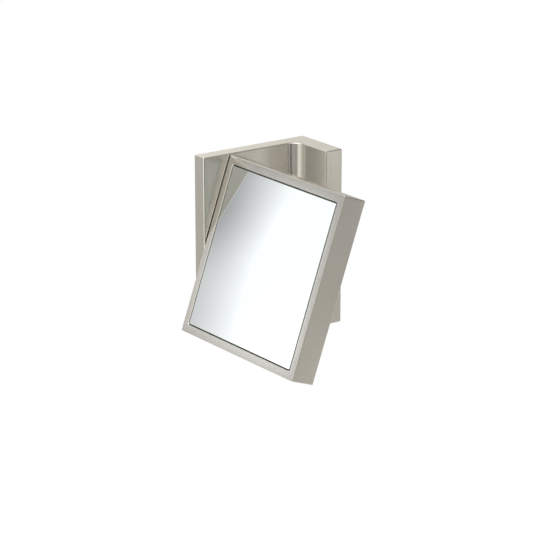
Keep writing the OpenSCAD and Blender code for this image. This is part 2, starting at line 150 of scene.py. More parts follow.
@dataclass(frozen=True)
class Outline:
    """Closed flat outline, anticlockwise, with a radius at each corner."""

    corners: tuple[Spot, ...]
    radii: tuple[float, ...]
    steps: int = 4

    @classmethod
    def rect(cls, u: Spot, v: Spot, radius: float = 0.3, steps: int = 4) -> "Outline":
        """A rectangle with round corners, between its lowest and highest u and v."""
        return cls(((u[0], v[0]), (u[1], v[0]), (u[1], v[1]), (u[0], v[1])), (radius,) * 4, steps)

    def ring(self, inset: float = 0.0) -> np.ndarray:
        """Points along the outline after it is moved inwards.

        Each corner moves along the sum of its two sides' inward normals, divided by one plus their
        dot product. Its arc then starts at the first side, at the radius from a centre that lies at
        radius times tan(half the turn) before the corner, and turns about that centre in equal steps.

        Args:
            inset: distance moved inwards; an outer corner's radius shrinks by it, an inner one's grows.

        Returns:
            Array of points, shape (corners times steps + 1, 2).
        """
        corner = np.array(self.corners, float)
        before = corner - np.roll(corner, 1, axis=0)
        before /= np.linalg.norm(before, axis=1, keepdims=True)
        after = np.roll(before, -1, axis=0)
        left_before = before[:, ::-1] * (-1, 1)
        left_after = after[:, ::-1] * (-1, 1)
        cross = before[:, 0] * after[:, 1] - before[:, 1] * after[:, 0]
        dot = (before * after).sum(axis=1)
        corner = corner + inset * (left_before + left_after) / (1 + dot)[:, None]
        radius = np.maximum(np.array(self.radii) - inset * np.sign(cross), 0.02)
        turn = np.arctan2(cross, dot)
        reach = radius * np.tan(np.abs(turn) / 2)
        side = (np.sign(cross) * radius)[:, None] * left_before
        centre = corner - before * reach[:, None] + side
        angle = turn[:, None] * np.linspace(0, 1, self.steps + 1)
        c, s = np.cos(angle), np.sin(angle)
        arm = -side
        u = centre[:, :1] + arm[:, :1] * c - arm[:, 1:] * s
        v = centre[:, 1:] + arm[:, :1] * s + arm[:, 1:] * c
        return np.stack([u, v], axis=-1).reshape(-1, 2)


def lay_along(u: np.ndarray, v: np.ndarray, height: np.ndarray, along: Along) -> np.ndarray:
    """Puts outline coordinates and heights on the row axes.

    Args:
        u: first outline coordinate.
        v: second outline coordinate.
        height: distance along the axis.
        along: the axis.

    Returns:
        Points, with a last axis of three.
    """
    u, v, height = np.broadcast_arrays(u, v, height)
    points = np.empty(u.shape + (3,))
    for values, axis in zip((u, v, height), along.value):
        points[..., axis] = values
    return points


def eased(low: float, high: float, ease: float, ease_high: Optional[float] = None) -> np.ndarray:
    """Heights and insets of the rings of a block whose two rims are rounded.

    A rim follows a quarter circle: height is its radius times (1 - cos t) from the end, and inset is
    its radius times (1 - sin t), for t from 0 to 90 degrees. Square rims need one ring at each end.

    Args:
        low: height of the first end.
        high: height of the second end.
        ease: radius of the first rim.
        ease_high: radius of the second rim, the same if it isn't given.

    Returns:
        Array of rows of height and inset.
    """
    top = ease if ease_high is None else ease_high
    if not ease and not top:
        return np.array([[low, 0.0], [high, 0.0]])
    t = np.linspace(0, math.pi / 2, RIM_FACETS + 1)
    first = np.column_stack([low + ease * (1 - np.cos(t)), ease * (1 - np.sin(t))])
    second = np.column_stack([high - top * (1 - np.cos(t)), top * (1 - np.sin(t))])
    return np.vstack([first, second[::-1]])


@dataclass
class Shell:
    """Surface under construction, in millimetres: patches of points, the faces between them and a slot."""

    patches: list[tuple[np.ndarray, np.ndarray, int]] = field(default_factory=list)

    def add_rings(self, grid: np.ndarray, loop: bool = False, slot: int = 0) -> "Shell":
        """Adds a band of quads between rings.

        Args:
            grid: points, shape (rings, points in a ring, 3); each ring closes on itself.
            loop: whether the last ring joins the first.
            slot: material slot of the faces.

        Returns:
            The shell.
        """
        rows, columns = grid.shape[:2]
        row = np.arange(rows if loop else rows - 1)[:, None]
        column = np.arange(columns)[None, :]
        after, beside = (row + 1) % rows, (column + 1) % columns
        quads = np.stack([row * columns + column, row * columns + beside,
                          after * columns + beside, after * columns + column], axis=-1)
        self.patches.append((grid.reshape(-1, 3), quads.reshape(-1, 4), slot))
        return self

    def add_lid(self, ring: np.ndarray, slot: int = 0) -> "Shell":
        """Adds one flat face inside a ring of points."""
        self.patches.append((ring, np.arange(len(ring))[None], slot))
        return self

    def to_object(self) -> Form:
        """Makes a closed mesh: doubles merged, stray edges removed, faces outwards.

        Returns:
            The object, linked to the scene.
        """
        points, faces, slots = zip(*self.patches)
        starts = np.cumsum([0] + [len(some) for some in points])
        polygons = [polygon for start, some in zip(starts, faces) for polygon in (some + start).tolist()]
        mesh = bpy.data.meshes.new("form")
        mesh.from_pydata(np.vstack(points), [], polygons)
        mesh.polygons.foreach_set("material_index", np.repeat(slots, [len(some) for some in faces]))
        form = bmesh.new()
        form.from_mesh(mesh)
        bmesh.ops.remove_doubles(form, verts=form.verts, dist=WELD)
        stray = [edge for edge in form.edges if not edge.link_faces]
        bmesh.ops.delete(form, geom=stray, context="EDGES")
        bmesh.ops.recalc_face_normals(form, faces=form.faces)
        form.to_mesh(mesh)
        form.free()
        return link("form", mesh)

    def worked(self, *steps: tuple[Cut, Sequence["Shell"]]) -> Form:
        """Makes the mesh, then adds tool shapes to it or carves them out of it, step by step.

        Args:
            steps: what each step does, and its tools.

        Returns:
            The object.
        """
        body = self.to_object()
        for how, tools in steps:
            made = [tool.to_object() for tool in tools]
            for tool in made:
                cut = body.modifiers.new("cut", "BOOLEAN")
                cut.object, cut.operation, cut.solver = tool, how.value, "EXACT"
            graph = bpy.context.evaluated_depsgraph_get()
            old, body.data = body.data, bpy.data.meshes.new_from_object(body.evaluated_get(graph))
            body.modifiers.clear()
            for mesh in [old] + [tool.data for tool in made]:
                bpy.data.meshes.remove(mesh)
        return body


def link(name: str, data: bpy.types.ID) -> Form:
    """Makes an object of a mesh or a camera, and links it to the scene."""
    made = bpy.data.objects.new(name, data)
    bpy.context.scene.collection.objects.link(made)
    return made


def both(value: float) -> Spot:
    """A distance to the one side and to the other."""
    return -value, value


def block(outline: Outline, low: float, high: float, along: Along, ease: float = 0.0,
          ease_high: Optional[float] = None) -> Shell:
    """A block: an outline carried along an axis, its end rims rounded.

    Args:
        outline: the section.
        low: where it starts along the axis.
        high: where it ends.
        along: the axis.
        ease: radius of the first rim.
        ease_high: radius of the second rim, the same if it isn't given.

    Returns:
        The closed shell.
    """
    levels = eased(low, high, ease, ease_high)
    rings = np.stack([outline.ring(inset) for inset in levels[:, 1]])
    grid = lay_along(rings[..., 0], rings[..., 1], levels[:, :1], along)
    return Shell().add_rings(grid).add_lid(grid[0]).add_lid(grid[-1])


def box_shell(low: Sequence[float], high: Sequence[float], along: Along = Z,
              radius: float = 0.3, ease: float = 0.0) -> Shell:
    """A block between its lowest and highest corners, with round edges along an axis and eased end rims."""
    u, v, h = along.value
    return block(Outline.rect((low[u], high[u]), (low[v], high[v]), radius), low[h], high[h], along, ease)


def round_rows(radii: Sequence[float]) -> np.ndarray:
    """Circular rows of a turned surface, shape (rows, columns), from the radius of each."""
    return np.repeat(np.array(radii, float)[:, None], COLUMNS, axis=1)


def hexagon(corner_radius: float) -> np.ndarray:
    """Radius of a regular hexagon at each column: its flat's distance over the cosine of the angle."""
    flat = corner_radius * math.cos(math.pi / 6)
    return flat / np.cos(TURNS % (math.pi / 3) - math.pi / 6)


def cross_slot(half_length: float, half_width: float) -> np.ndarray:
    """Radius of a cross at each column: the farther reach of its two bars along that angle."""
    c, s = np.abs(np.cos(TURNS)) + 1e-9, np.abs(np.sin(TURNS)) + 1e-9
    level, upright = np.minimum(half_length / c, half_width / s), np.minimum(half_length / s, half_width / c)
    return np.maximum(level, upright)


def flatted(radius: float, flat: float) -> np.ndarray:
    """Radius of a circle with one flat on top at each column."""
    return np.minimum(radius, flat / np.maximum(np.sin(TURNS), 1e-6))


def turned(radius: np.ndarray, height: np.ndarray, centre: Sequence[float], along: Along,
           loop: bool = False) -> Shell:
    """A turned shape: radius and height on a grid of rows and columns, carried round an axis.

    Args:
        radius: radius of each row at each column; a row of zeros is a pole.
        height: place of each row along the axis, one number or one for each column.
        centre: u and v of the axis.
        along: the axis.
        loop: whether the last row joins the first, as on a ring.

    Returns:
        The closed shell.
    """
    height = np.broadcast_to(np.asarray(height, float).reshape(len(radius), -1), radius.shape)
    grid = lay_along(centre[0] + radius * np.cos(TURNS), centre[1] + radius * np.sin(TURNS), height, along)
    return Shell().add_rings(grid, loop)


def turned_ring(outline: Outline, centre: Sequence[float], along: Along) -> Shell:
    """A ring turned from a closed section, whose outline holds radius and height."""
    section = outline.ring()
    return turned(round_rows(section[:, 0]), section[:, 1], centre, along, loop=True)


def rod(radius: float, low: float, high: float, centre: Sequence[float], along: Along,
        ease: float = 0.0, radius_high: Optional[float] = None) -> Shell:
    """A round rod or cone between two heights, its rims rounded.

    Args:
        radius: its radius at the low end.
        low: where it starts.
        high: where it ends.
        centre: u and v of its axis.
        along: the axis.
        ease: radius of its rims.
        radius_high: its radius at the high end, the same if it isn't given.

    Returns:
        The closed shell.
    """
    levels = eased(low, high, ease)
    share = (levels[:, 0] - low) / (high - low)
    wide = radius + share * ((radius if radius_high is None else radius_high) - radius)
    radii = np.concatenate([[0.0], wide - levels[:, 1], [0.0]])
    return turned(round_rows(radii), np.concatenate([[low], levels[:, 0], [high]]), centre, along)


def rods(radius: float, low: float, high: float, centres: Sequence[Sequence[float]], along: Along,
         radius_high: Optional[float] = None) -> list[Shell]:
    """Equal rods or cones about several axes, with square rims."""
    return [rod(radius, low, high, centre, along, 0.0, radius_high) for centre in centres]


def thread_rows(radius: float, depth: float, pitch: float, low: float,
                high: float) -> tuple[np.ndarray, np.ndarray]:
    """Rows of a helical thread.

    The radius falls from the crest by the depth times a triangle wave of height over pitch plus the
    angle's share of a turn, and the wave fades in and out over one pitch at the ends.

    Args:
        radius: radius over the crests.
        depth: depth of the thread.
        pitch: distance between crests.
        low: height where it starts.
        high: height where it ends.

    Returns:
        The rows' radii, shape (rows, columns), and their heights.
    """
    height = np.linspace(low, high, max(8, int(abs(high - low) / pitch * 6)))
    wave = np.abs(((height[:, None] / pitch + TURNS / (2 * math.pi)) % 1.0) * 2 - 1)
    from_end = np.minimum(np.abs(height - low), np.abs(height - high))
    fade = np.clip(from_end / pitch, 0, 1)[:, None]
    return radius - depth * (wave * fade + (1 - fade)), height


# ---- screws ----

class Top(Enum):
    """Form of a screw's head."""

    CAP = "cap"
    PAN = "pan"
    SUNK = "sunk"
    NONE = "none"


class Drive(Enum):
    """Form of the recess that turns a screw."""

    HEX = "hex"
    CROSS = "cross"


@dataclass(frozen=True)
class Screw:
    """A machine screw: depth counts from the head's outer face into the material.

    The recess is its corner radius and its depth. A cone is the radius at its foot, the radius at
    its tip and its length, beyond the screw's own. The last four sizes are shares: of the recess's
    radius at its floor, of the pitch for the thread's depth, and of the radius for the tip.
    """

    top: Top
    drive: Drive
    radius: float
    length: float
    head_radius: float
    head_height: float
    recess: Spot
    pitch: float = 0.5
    tip: float = 0.4
    cone: Optional[tuple[float, float, float]] = None
    hex_floor: float = 0.98
    cross_floor: float = 0.55
    thread_share: float = 0.45
    tip_share: float = 0.62

    def side(self) -> list[Spot]:
        """The head's outline from its face to its neck.

        Returns:
            Radius and depth of each row.
        """
        rim, high, neck = self.head_radius, self.head_height, (self.radius, self.head_height)
        if self.top is Top.CAP:
            face = [(rim - 0.35, 0.0), (rim - 0.1, 0.1), (rim, 0.35)]
            return face + [(rim, high - 0.15), (rim - 0.15, high), neck]
        if self.top is Top.PAN:
            dome = [(rim * (0.62 + 0.38 * math.sin(a)), high * 0.6 * (1 - math.cos(a)))
                    for a in np.linspace(0, math.pi / 2, 5)]
            return dome + [(rim - 0.05, high), neck]
        if self.top is Top.SUNK:
            return [(rim - 0.12, 0.0), (rim, 0.1), (rim - 0.05, 0.22), neck]
        return [(rim - 0.45, 0.0), (rim - 0.05, 0.4)]

    def rows(self) -> tuple[np.ndarray, np.ndarray]:
        """The whole surface as one stack of rows.

        The rows go from the middle of the recess's floor up its walls, across the face, down the
        head's side, along the thread and to the middle of the tip.

        Returns:
            The rows' radii and their depths.
        """
        size, deep = self.recess
        if self.drive is Drive.HEX:
            hole, floor = hexagon(size), self.hex_floor
        else:
            hole, floor = cross_slot(size, size / 5), self.cross_floor
        side = self.side()
        radii = [np.zeros(COLUMNS), hole * floor, hole, hole + 0.08] + [np.full(COLUMNS, r) for r, _ in side]
        depths = [deep * 1.1, deep, 0.12, 0.0] + [depth for _, depth in side]
        thread, along = thread_rows(self.radius, self.pitch * self.thread_share, self.pitch,
                                    depths[-1] + 0.25, self.length - self.tip)
        foot, point, rise = self.cone or (self.radius * self.tip_share, 0.0, 0.0)
        end = self.length + rise
        return (np.vstack([radii, thread, round_rows([foot, point, 0.0] if rise else [foot, 0.0])]),
                np.concatenate([depths, along, [self.length, end, end] if rise else [end, end]]))

    def placed(self, places: Sequence[Sequence[float]], along: Along, sign: int) -> Form:
        """Equal screws in their places.

        Args:
            places: the middle of each head's outer face.
            along: axis that they lie along.
            sign: +1 or -1, the way they point along that axis.

        Returns:
            One object that holds them all.
        """
        radii, depths = self.rows()
        u, v, h = along.value
        shape = Shell()
        for at in places:
            shape.patches += turned(radii, at[h] + sign * depths, (at[u], at[v]), along).patches
        return shape.to_object()


# ---- pieces ----

@dataclass(frozen=True)
class Grain:
    """How the marks of a finish are laid on a piece."""

    lay: Lay
    along: Along = X
    centres: tuple[Spot, ...] = ((0.0, 0.0),)

    def coordinates(self, points: np.ndarray, normals: np.ndarray) -> np.ndarray:
        """Pattern coordinates in millimetres: across the marks, along them, and into the depth.

        Upright marks run along z, and along y on faces that look up or down. Sideways marks run along
        x. Turned marks run round the nearest axis, so their coordinates are the distance from it, a
        constant and the height.

        Args:
            points: place of each face corner.
            normals: normal of each corner's face.

        Returns:
            Array of the same shape.
        """
        if self.lay is Lay.TURNED:
            u, v, h = self.along.value
            middle = np.array(self.centres)
            away = np.hypot(points[:, u, None] - middle[:, 0], points[:, v, None] - middle[:, 1])
            return np.column_stack([away.min(axis=1), np.zeros(len(points)), points[:, h]])
        upright = points[:, [0, 2, 1]] if self.lay is Lay.UPRIGHT else points[:, [2, 0, 1]]
        level = np.abs(normals[:, 2]) > LEVEL_ABOVE
        flat = points[:, [0, 1, 2]] if self.along is Y else points[:, [1, 0, 2]]
        return np.where(level[:, None], flat, upright)


def read(items: bpy.types.bpy_prop_collection, key: str, width: int, kind: type = float) -> np.ndarray:
    """Reads one property of every item of a mesh collection as an array.

    Args:
        items: the collection.
        key: name of the property.
        width: how many numbers each item has.
        kind: type of the numbers.

    Returns:
        Array of shape (items, width), or (items,) if width is 1.
    """
    values = np.empty(len(items) * width, dtype=kind)
    items.foreach_get(key, values)
    return values.reshape(-1, width) if width > 1 else values


def edge_bend(mesh: bpy.types.Mesh) -> np.ndarray:
    """How sharply the surface bends outwards at each vertex, 0 on a flat and up to 1 on a sharp edge.

    Every edge has two face corners, so sorting corners by edge pairs the faces. Where the second
    face's middle lies below the first face's plane, the bend is one minus the dot product of their
    normals, and a vertex takes the largest bend of its edges.

    Args:
        mesh: a closed mesh.

    Returns:
        One number for each vertex.
    """
    sizes = read(mesh.polygons, "loop_total", 1, int)
    faces = np.repeat(np.arange(len(sizes)), sizes)
    edges = read(mesh.loops, "edge_index", 1, int)
    order = np.argsort(edges, kind="stable")
    ends = read(mesh.edges, "vertices", 2, int)
    counts = np.bincount(edges, minlength=len(ends))
    first = np.searchsorted(edges[order], np.flatnonzero(counts == 2))
    one, two = faces[order[first]], faces[order[first + 1]]
    normals, middles = read(mesh.polygons, "normal", 3), read(mesh.polygons, "center", 3)
    outward = ((middles[two] - middles[one]) * normals[one]).sum(axis=1) < 0
    bend = np.where(outward, 1 - (normals[one] * normals[two]).sum(axis=1), 0)
    result = np.zeros(len(mesh.vertices))
    for side in (0, 1):
        np.maximum.at(result, ends[np.flatnonzero(counts == 2), side], bend)
    return np.clip(result / FULL_BEND, 0, 1)


@dataclass
class Piece:
    """One piece of the object: its own name, the CAD node it stands for and how it is finished."""

    name: str
    node: str
    form: Form
    finishes: tuple[str, ...]
    grain: Grain

    def settle(self, body: Body, place: HeadPlace, materials: dict[str, bpy.types.Material],
               slot: str) -> None:
        """Writes the pattern attributes, moves the mesh to its place and ties the piece to the frame.

        Args:
            body: the CAD body that it moves with.
            place: the head's place.
            materials: the materials by name.
            slot: the record's material slot; not used.
        """
        mesh = self.form.data
        mesh.name = self.form.name = self.name
        points = read(mesh.vertices, "co", 3)
        sizes = read(mesh.polygons, "loop_total", 1, int)
        normals = np.repeat(read(mesh.polygons, "normal", 3), sizes, axis=0)
        corners = points[read(mesh.loops, "vertex_index", 1, int)]
        lines = mesh.attributes.new("grain", "FLOAT_VECTOR", "CORNER")
        lines.data.foreach_set("vector", self.grain.coordinates(corners, normals).ravel())
        bend = mesh.attributes.new("edge", "FLOAT", "POINT")
        bend.data.foreach_set("value", edge_bend(mesh))
        points = place.to_row(points * MM) if body is Body.HEAD else points * MM
        mesh.vertices.foreach_set("co", points.ravel())
        mesh.materials.clear()
        for finish in self.finishes:
            mesh.materials.append(materials[finish])
        mesh.polygons.foreach_set("use_smooth", [True] * len(mesh.polygons))
        mesh.set_sharp_from_angle(angle=math.radians(SMOOTH_BELOW))
        mesh.update()
        self.form.modifiers.new("shading", "WEIGHTED_NORMAL").keep_sharp = True
        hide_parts(self.node)
        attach(self.form, body.value)
        log.info("%-18s %6d faces, on %s", self.name, len(mesh.polygons), body.value)


# ---- sub-assemblies ----

@dataclass(frozen=True)
class WallFixing:
    """The plate that is screwed to the wall, and the grub screws that lock the bracket on it."""

    body = Body.BRACKET
    half_width: float = 23.0
    half_height: float = 75.0
    thick: float = 3.0
    lip_out: float = 12.0
    bend: float = 1.6
    tongue_half: float = 20.0
    tongue_thick: float = 2.5
    tongue_rise: float = 4.0
    tongue_root: float = 1.5
    hole_r: float = 2.75
    hole_z: float = 55.0
    dimple: Spot = (0.7, 0.35)
    grub_x: float = 14.0
    grub_y: float = -8.0
    grub_hole_r: float = 2.2
    grub_foot: float = -87.0
    grub: Screw = Screw(Top.NONE, Drive.HEX, 2.5, 11.6, 2.5, 0.0, (1.45, 3.0), 0.8, 0.5, (2.0, 1.0, 2.0))

    def plate(self) -> Form:
        """The bent plate: a channel's section carried across its width, with its tongue and holes.

        Returns:
            The plate.
        """
        t, out, top, bent = self.thick, -self.lip_out, self.half_height, self.bend + self.thick
        section = Outline(((out, -top), (0, -top), (0, top), (out, top),
                           (out, top - t), (-t, top - t), (-t, t - top), (out, t - top)),
                          (0.4, bent, bent, 0.4, 0.4, self.bend, self.bend, 0.4), 5)
        tongue = box_shell((-self.tongue_half, out, top - self.tongue_root),
                           (self.tongue_half, out + self.tongue_thick, top + self.tongue_rise), Z, 0.5, 0.5)
        wide, deep = self.dimple
        mounts = [(0, z) for z in both(self.hole_z)]
        tips = [(x, self.grub_y) for x in both(self.grub_x)]
        holes = rods(self.hole_r, -t - 1, 1, mounts, Y)
        holes += rods(self.grub_hole_r, -top - 1, t + 1 - top, tips, Z)
        holes += rods(self.hole_r + wide, -t - deep, -t + deep, mounts, Y, self.hole_r)
        form = block(section, -self.half_width, self.half_width, X, 0.25)
        return form.worked((Cut.ADD, [tongue]), (Cut.CARVE, holes))

    def pieces(self) -> list[Piece]:
        """Builds the plate and the two grub screws, which point upwards.

        Returns:
            The fixing's pieces.
        """
        spots = tuple((x, self.grub_y) for x in both(self.grub_x))
        grubs = [spot + (self.grub_foot,) for spot in spots]
        return [
            Piece("fixing_plate", "wall_plate", self.plate(), ("zinc",), Grain(Lay.SIDEWAYS, X)),
            Piece("grub_screws", "set_screws", self.grub.placed(grubs, Z, 1), ("black_oxide",),
                  Grain(Lay.TURNED, Z, spots)),
        ]


@dataclass(frozen=True)
class Bracket:
    """The angle casting, the panel let into its arm, and the bushes in its bore.

    Tools start `past` a face that they open, and a shape that joins another has its `root` inside
    it. A bush is its bore's and sleeve's and flange's radius, the flange's thickness and its length.
    """

    body = Body.BRACKET
    half_height: float = 87.5
    outer_x: float = -32.0
    inner_x: float = -16.0
    end_x: float = 32.0
    reach: float = 128.0
    flange: float = 19.0
    corner_r: float = 12.0
    edge: float = 1.0
    skin: float = 3.0
    rim: float = 3.0
    cover_t: float = 2.0
    cover_gap: float = 0.2
    ledge: float = 3.0
    tie_y: Spot = (-45.0, -100.0)
    tie_x: float = -26.25
    tie_half: float = 4.0
    hook_half: float = 0.9
    hook_gap: float = 0.3
    hook_rise: float = 2.3
    hook_drop: float = 6.0
    hook_clear: float = 0.8
    lug: float = 7.5
    lug_high: float = 7.3
    root: float = 0.5
    rib_half: float = 1.0
    past: float = 1.0
    slot_gap: float = 0.4
    slot_rise: float = 4.5
    thread_gap: float = 0.05
    axis_y: float = -115.5
    boss_x: float = -22.0
    recess_x: float = -17.0
    boss_r: float = 9.2
    bore_r: float = 6.52
    rib_z: float = 42.0
    rib_x: float = -28.0
    spine: float = 51.5
    screw: Screw = Screw(Top.CAP, Drive.HEX, 1.5, 12.0, 2.75, 3.0, (1.4, 1.8))
    screw_clear: float = 1.7
    sink_clear: float = 2.85
    head_in: float = 0.1
    pocket_half: float = 26.0
    pocket_rise: float = 5.2
    slot_half: float = 21.0
    bush: tuple[float, float, float, float, float] = (5.03, 6.5, 9.0, 1.0, 2.4)

    def hollow(self) -> list[Shell]:
        """What is carved from the arm's outer side: the panel's seat, the hollow and the bore's pocket.

        Returns:
            The tools.
        """
        seat, start, stop = self.outer_x + self.cover_t, -self.reach + self.rim, -self.flange - self.rim
        high = self.half_height - self.rim
        deep = high - self.ledge
        return [
            box_shell((self.outer_x - 1, start, -high), (seat, stop, high), X, 0.8),
            box_shell((self.outer_x, start + self.ledge, -deep),
                      (self.inner_x - self.skin, stop - self.ledge, deep), X, 2.0),
            rod(self.boss_r, seat - 1, self.boss_x, (self.axis_y, 0), X),
        ]

    def ribs(self) -> list[Shell]:
        """Ribs across the hollow, one from the boss to the wall end, and the boss round the bore.

        Returns:
            The shapes to add.
        """
        foot = self.inner_x - self.skin / 2
        start, stop = self.ledge / 2 + self.rim - self.reach, -self.flange - self.rim - self.ledge / 2
        half = self.rib_half
        across = [box_shell((self.rib_x, start, z - half), (foot, stop, z + half), Y, 0.4)
                  for z in both(self.rib_z)]
        spine = box_shell((self.boss_x, self.axis_y, -half), (foot, self.axis_y + self.spine, half), Y, 0.4)
        return across + [spine, rod(self.boss_r, self.boss_x, foot, (self.axis_y, 0), X, 0.3)]

    def drilled(self, radius: float, end: float, centre: Spot, lip: float) -> list[Shell]:
        """A hole from the lower end up to a height, and the cone that breaks its lip of a given radius."""
        foot = -self.half_height
        return [rod(radius, foot - self.past, end, centre, Z),
                rod(lip + 0.5, foot - 0.2, foot + 0.3, centre, Z, 0, lip)]

    def openings(self) -> list[Shell]:
        """The panel's hook pockets and screw holes, then the wall plate's pocket, slot and grub holes.

        Returns:
            The tools.
        """
        top = self.half_height - self.rim - self.ledge
        sunk = -self.half_height + self.screw.head_height + self.head_in
        near, deep = self.tie_x - self.hook_half - self.hook_gap, self.tie_x + self.hook_half + self.hook_gap
        tools = []
        for y in self.tie_y:
            low, far = y - self.tie_half - self.hook_gap, y + self.tie_half + self.hook_gap
            tools.append(box_shell((near, low, top - self.hook_gap),
                                   (deep, far, top + self.hook_rise + self.hook_clear)))
            tools.append(rod(self.screw_clear, -self.half_height - self.past, self.past - top,
                             (self.tie_x, y), Z))
            tools += self.drilled(self.sink_clear, sunk, (self.tie_x, y), self.sink_clear)
        fixing = WallFixing()
        grub, top, out = fixing.grub.radius, fixing.half_height, -fixing.lip_out
        tools.append(box_shell((-self.pocket_half, -self.flange + self.skin, -top - self.pocket_rise),
                               (self.pocket_half, 1, top), Y, 2.0))
        slot_out = out + fixing.tongue_thick + self.slot_gap
        tools.append(box_shell((-self.slot_half, out - self.slot_gap, top - self.past),
                               (self.slot_half, slot_out, top + self.slot_rise), Z, 0.4))
        for x in both(fixing.grub_x):
            tools += self.drilled(grub + self.thread_gap, self.past - top, (x, fixing.grub_y), grub)
        return tools

    def casting(self) -> Form:
        """The angle: its plan carried upwards with rounded rims, then hollowed and drilled.

        Returns:
            The casting.
        """
        e = self.edge
        plan = Outline(((self.outer_x, -self.reach), (self.inner_x, -self.reach),
                        (self.inner_x, -self.flange), (self.end_x, -self.flange),
                        (self.end_x, 0), (self.outer_x, 0)),
                       (e, e, self.corner_r, e, e, e), 10)
        bore = rod(self.bore_r, self.boss_x - 1, self.inner_x + 1, (self.axis_y, 0), X)
        recess = rod(self.boss_r, self.recess_x, self.inner_x + 1, (self.axis_y, 0), X)
        form = block(plan, -self.half_height, self.half_height, Z, e)
        return form.worked((Cut.CARVE, self.hollow()), (Cut.ADD, self.ribs()),
                           (Cut.CARVE, [bore, recess] + self.openings()))

    def panel(self) -> Form:
        """The panel let into the arm, with its hooks and screw lugs.

        Returns:
            The panel.
        """
        gap, high, inner = self.cover_gap, self.half_height - self.rim, self.outer_x + self.cover_t
        face = Outline.rect((-self.reach + self.rim + gap, -self.flange - self.rim - gap),
                            (-high + gap, high - gap), 0.6)
        top, x, thick, gap = high - self.ledge, self.tie_x, self.hook_half, self.hook_gap
        lugs, holes = [], []
        for y in self.tie_y:
            low, far = y - self.tie_half, y + self.tie_half
            lugs += [
                box_shell((inner - self.root, low, top - self.hook_drop), (x + thick, far, top - gap), Y),
                box_shell((x - thick, low, top - gap - self.root), (x + thick, far, top + self.hook_rise),
                          Y, 0.3, 0.3),
                box_shell((inner - self.root, low, gap - top), (inner + self.lug, far, self.lug_high - top),
                          Y, 0.5, 0.3),
            ]
            holes.append(rod(self.screw.radius + self.thread_gap, -top - self.past,
                             self.lug_high + self.past - top, (x, y), Z))
        return block(face, self.outer_x, inner, X, 0.35, 0.1).worked((Cut.ADD, lugs), (Cut.CARVE, holes))

    def flanged_bush(self, face: float, side: int) -> Form:
        """A bush turned from its section: a sleeve in the bore and a flange on the face.

        Args:
            face: x of the face that the flange lies on.
            side: +1 or -1, the way the flange faces.

        Returns:
            The bush.
        """
        bore, sleeve, rim, thick, long = self.bush
        section = ((bore, face - side * long), (sleeve, face - side * long), (sleeve, face),
                   (rim, face), (rim, face + side * thick), (bore, face + side * thick))
        return turned_ring(Outline(section[::side], (0.2,) * 6, 3), (self.axis_y, 0), X).to_object()

    def pieces(self) -> list[Piece]:
        """Builds the casting, the panel with its two screws from below, and the bushes.

        Returns:
            The bracket's pieces.
        """
        pivot = Grain(Lay.TURNED, X, ((self.axis_y, 0.0),))
        brushed = Grain(Lay.UPRIGHT, Y)
        ties = tuple((self.tie_x, y) for y in self.tie_y)
        screws = [tie + (-self.half_height + self.head_in,) for tie in ties]
        return [
            Piece("angle_casting", "bracket_shell", self.casting(), ("nickel",), brushed),
            Piece("arm_panel", "arm_cover", self.panel(), ("nickel",), brushed),
            Piece("panel_screws", "cover_screws", self.screw.placed(screws, Z, 1), ("stainless",),
                  Grain(Lay.TURNED, Z, ties)),
            Piece("bush_at_head", "front_bush", self.flanged_bush(self.recess_x, 1), ("acetal",), pivot),
            Piece("bush_at_springs", "rear_bush", self.flanged_bush(self.boss_x, -1), ("acetal",), pivot),
        ]


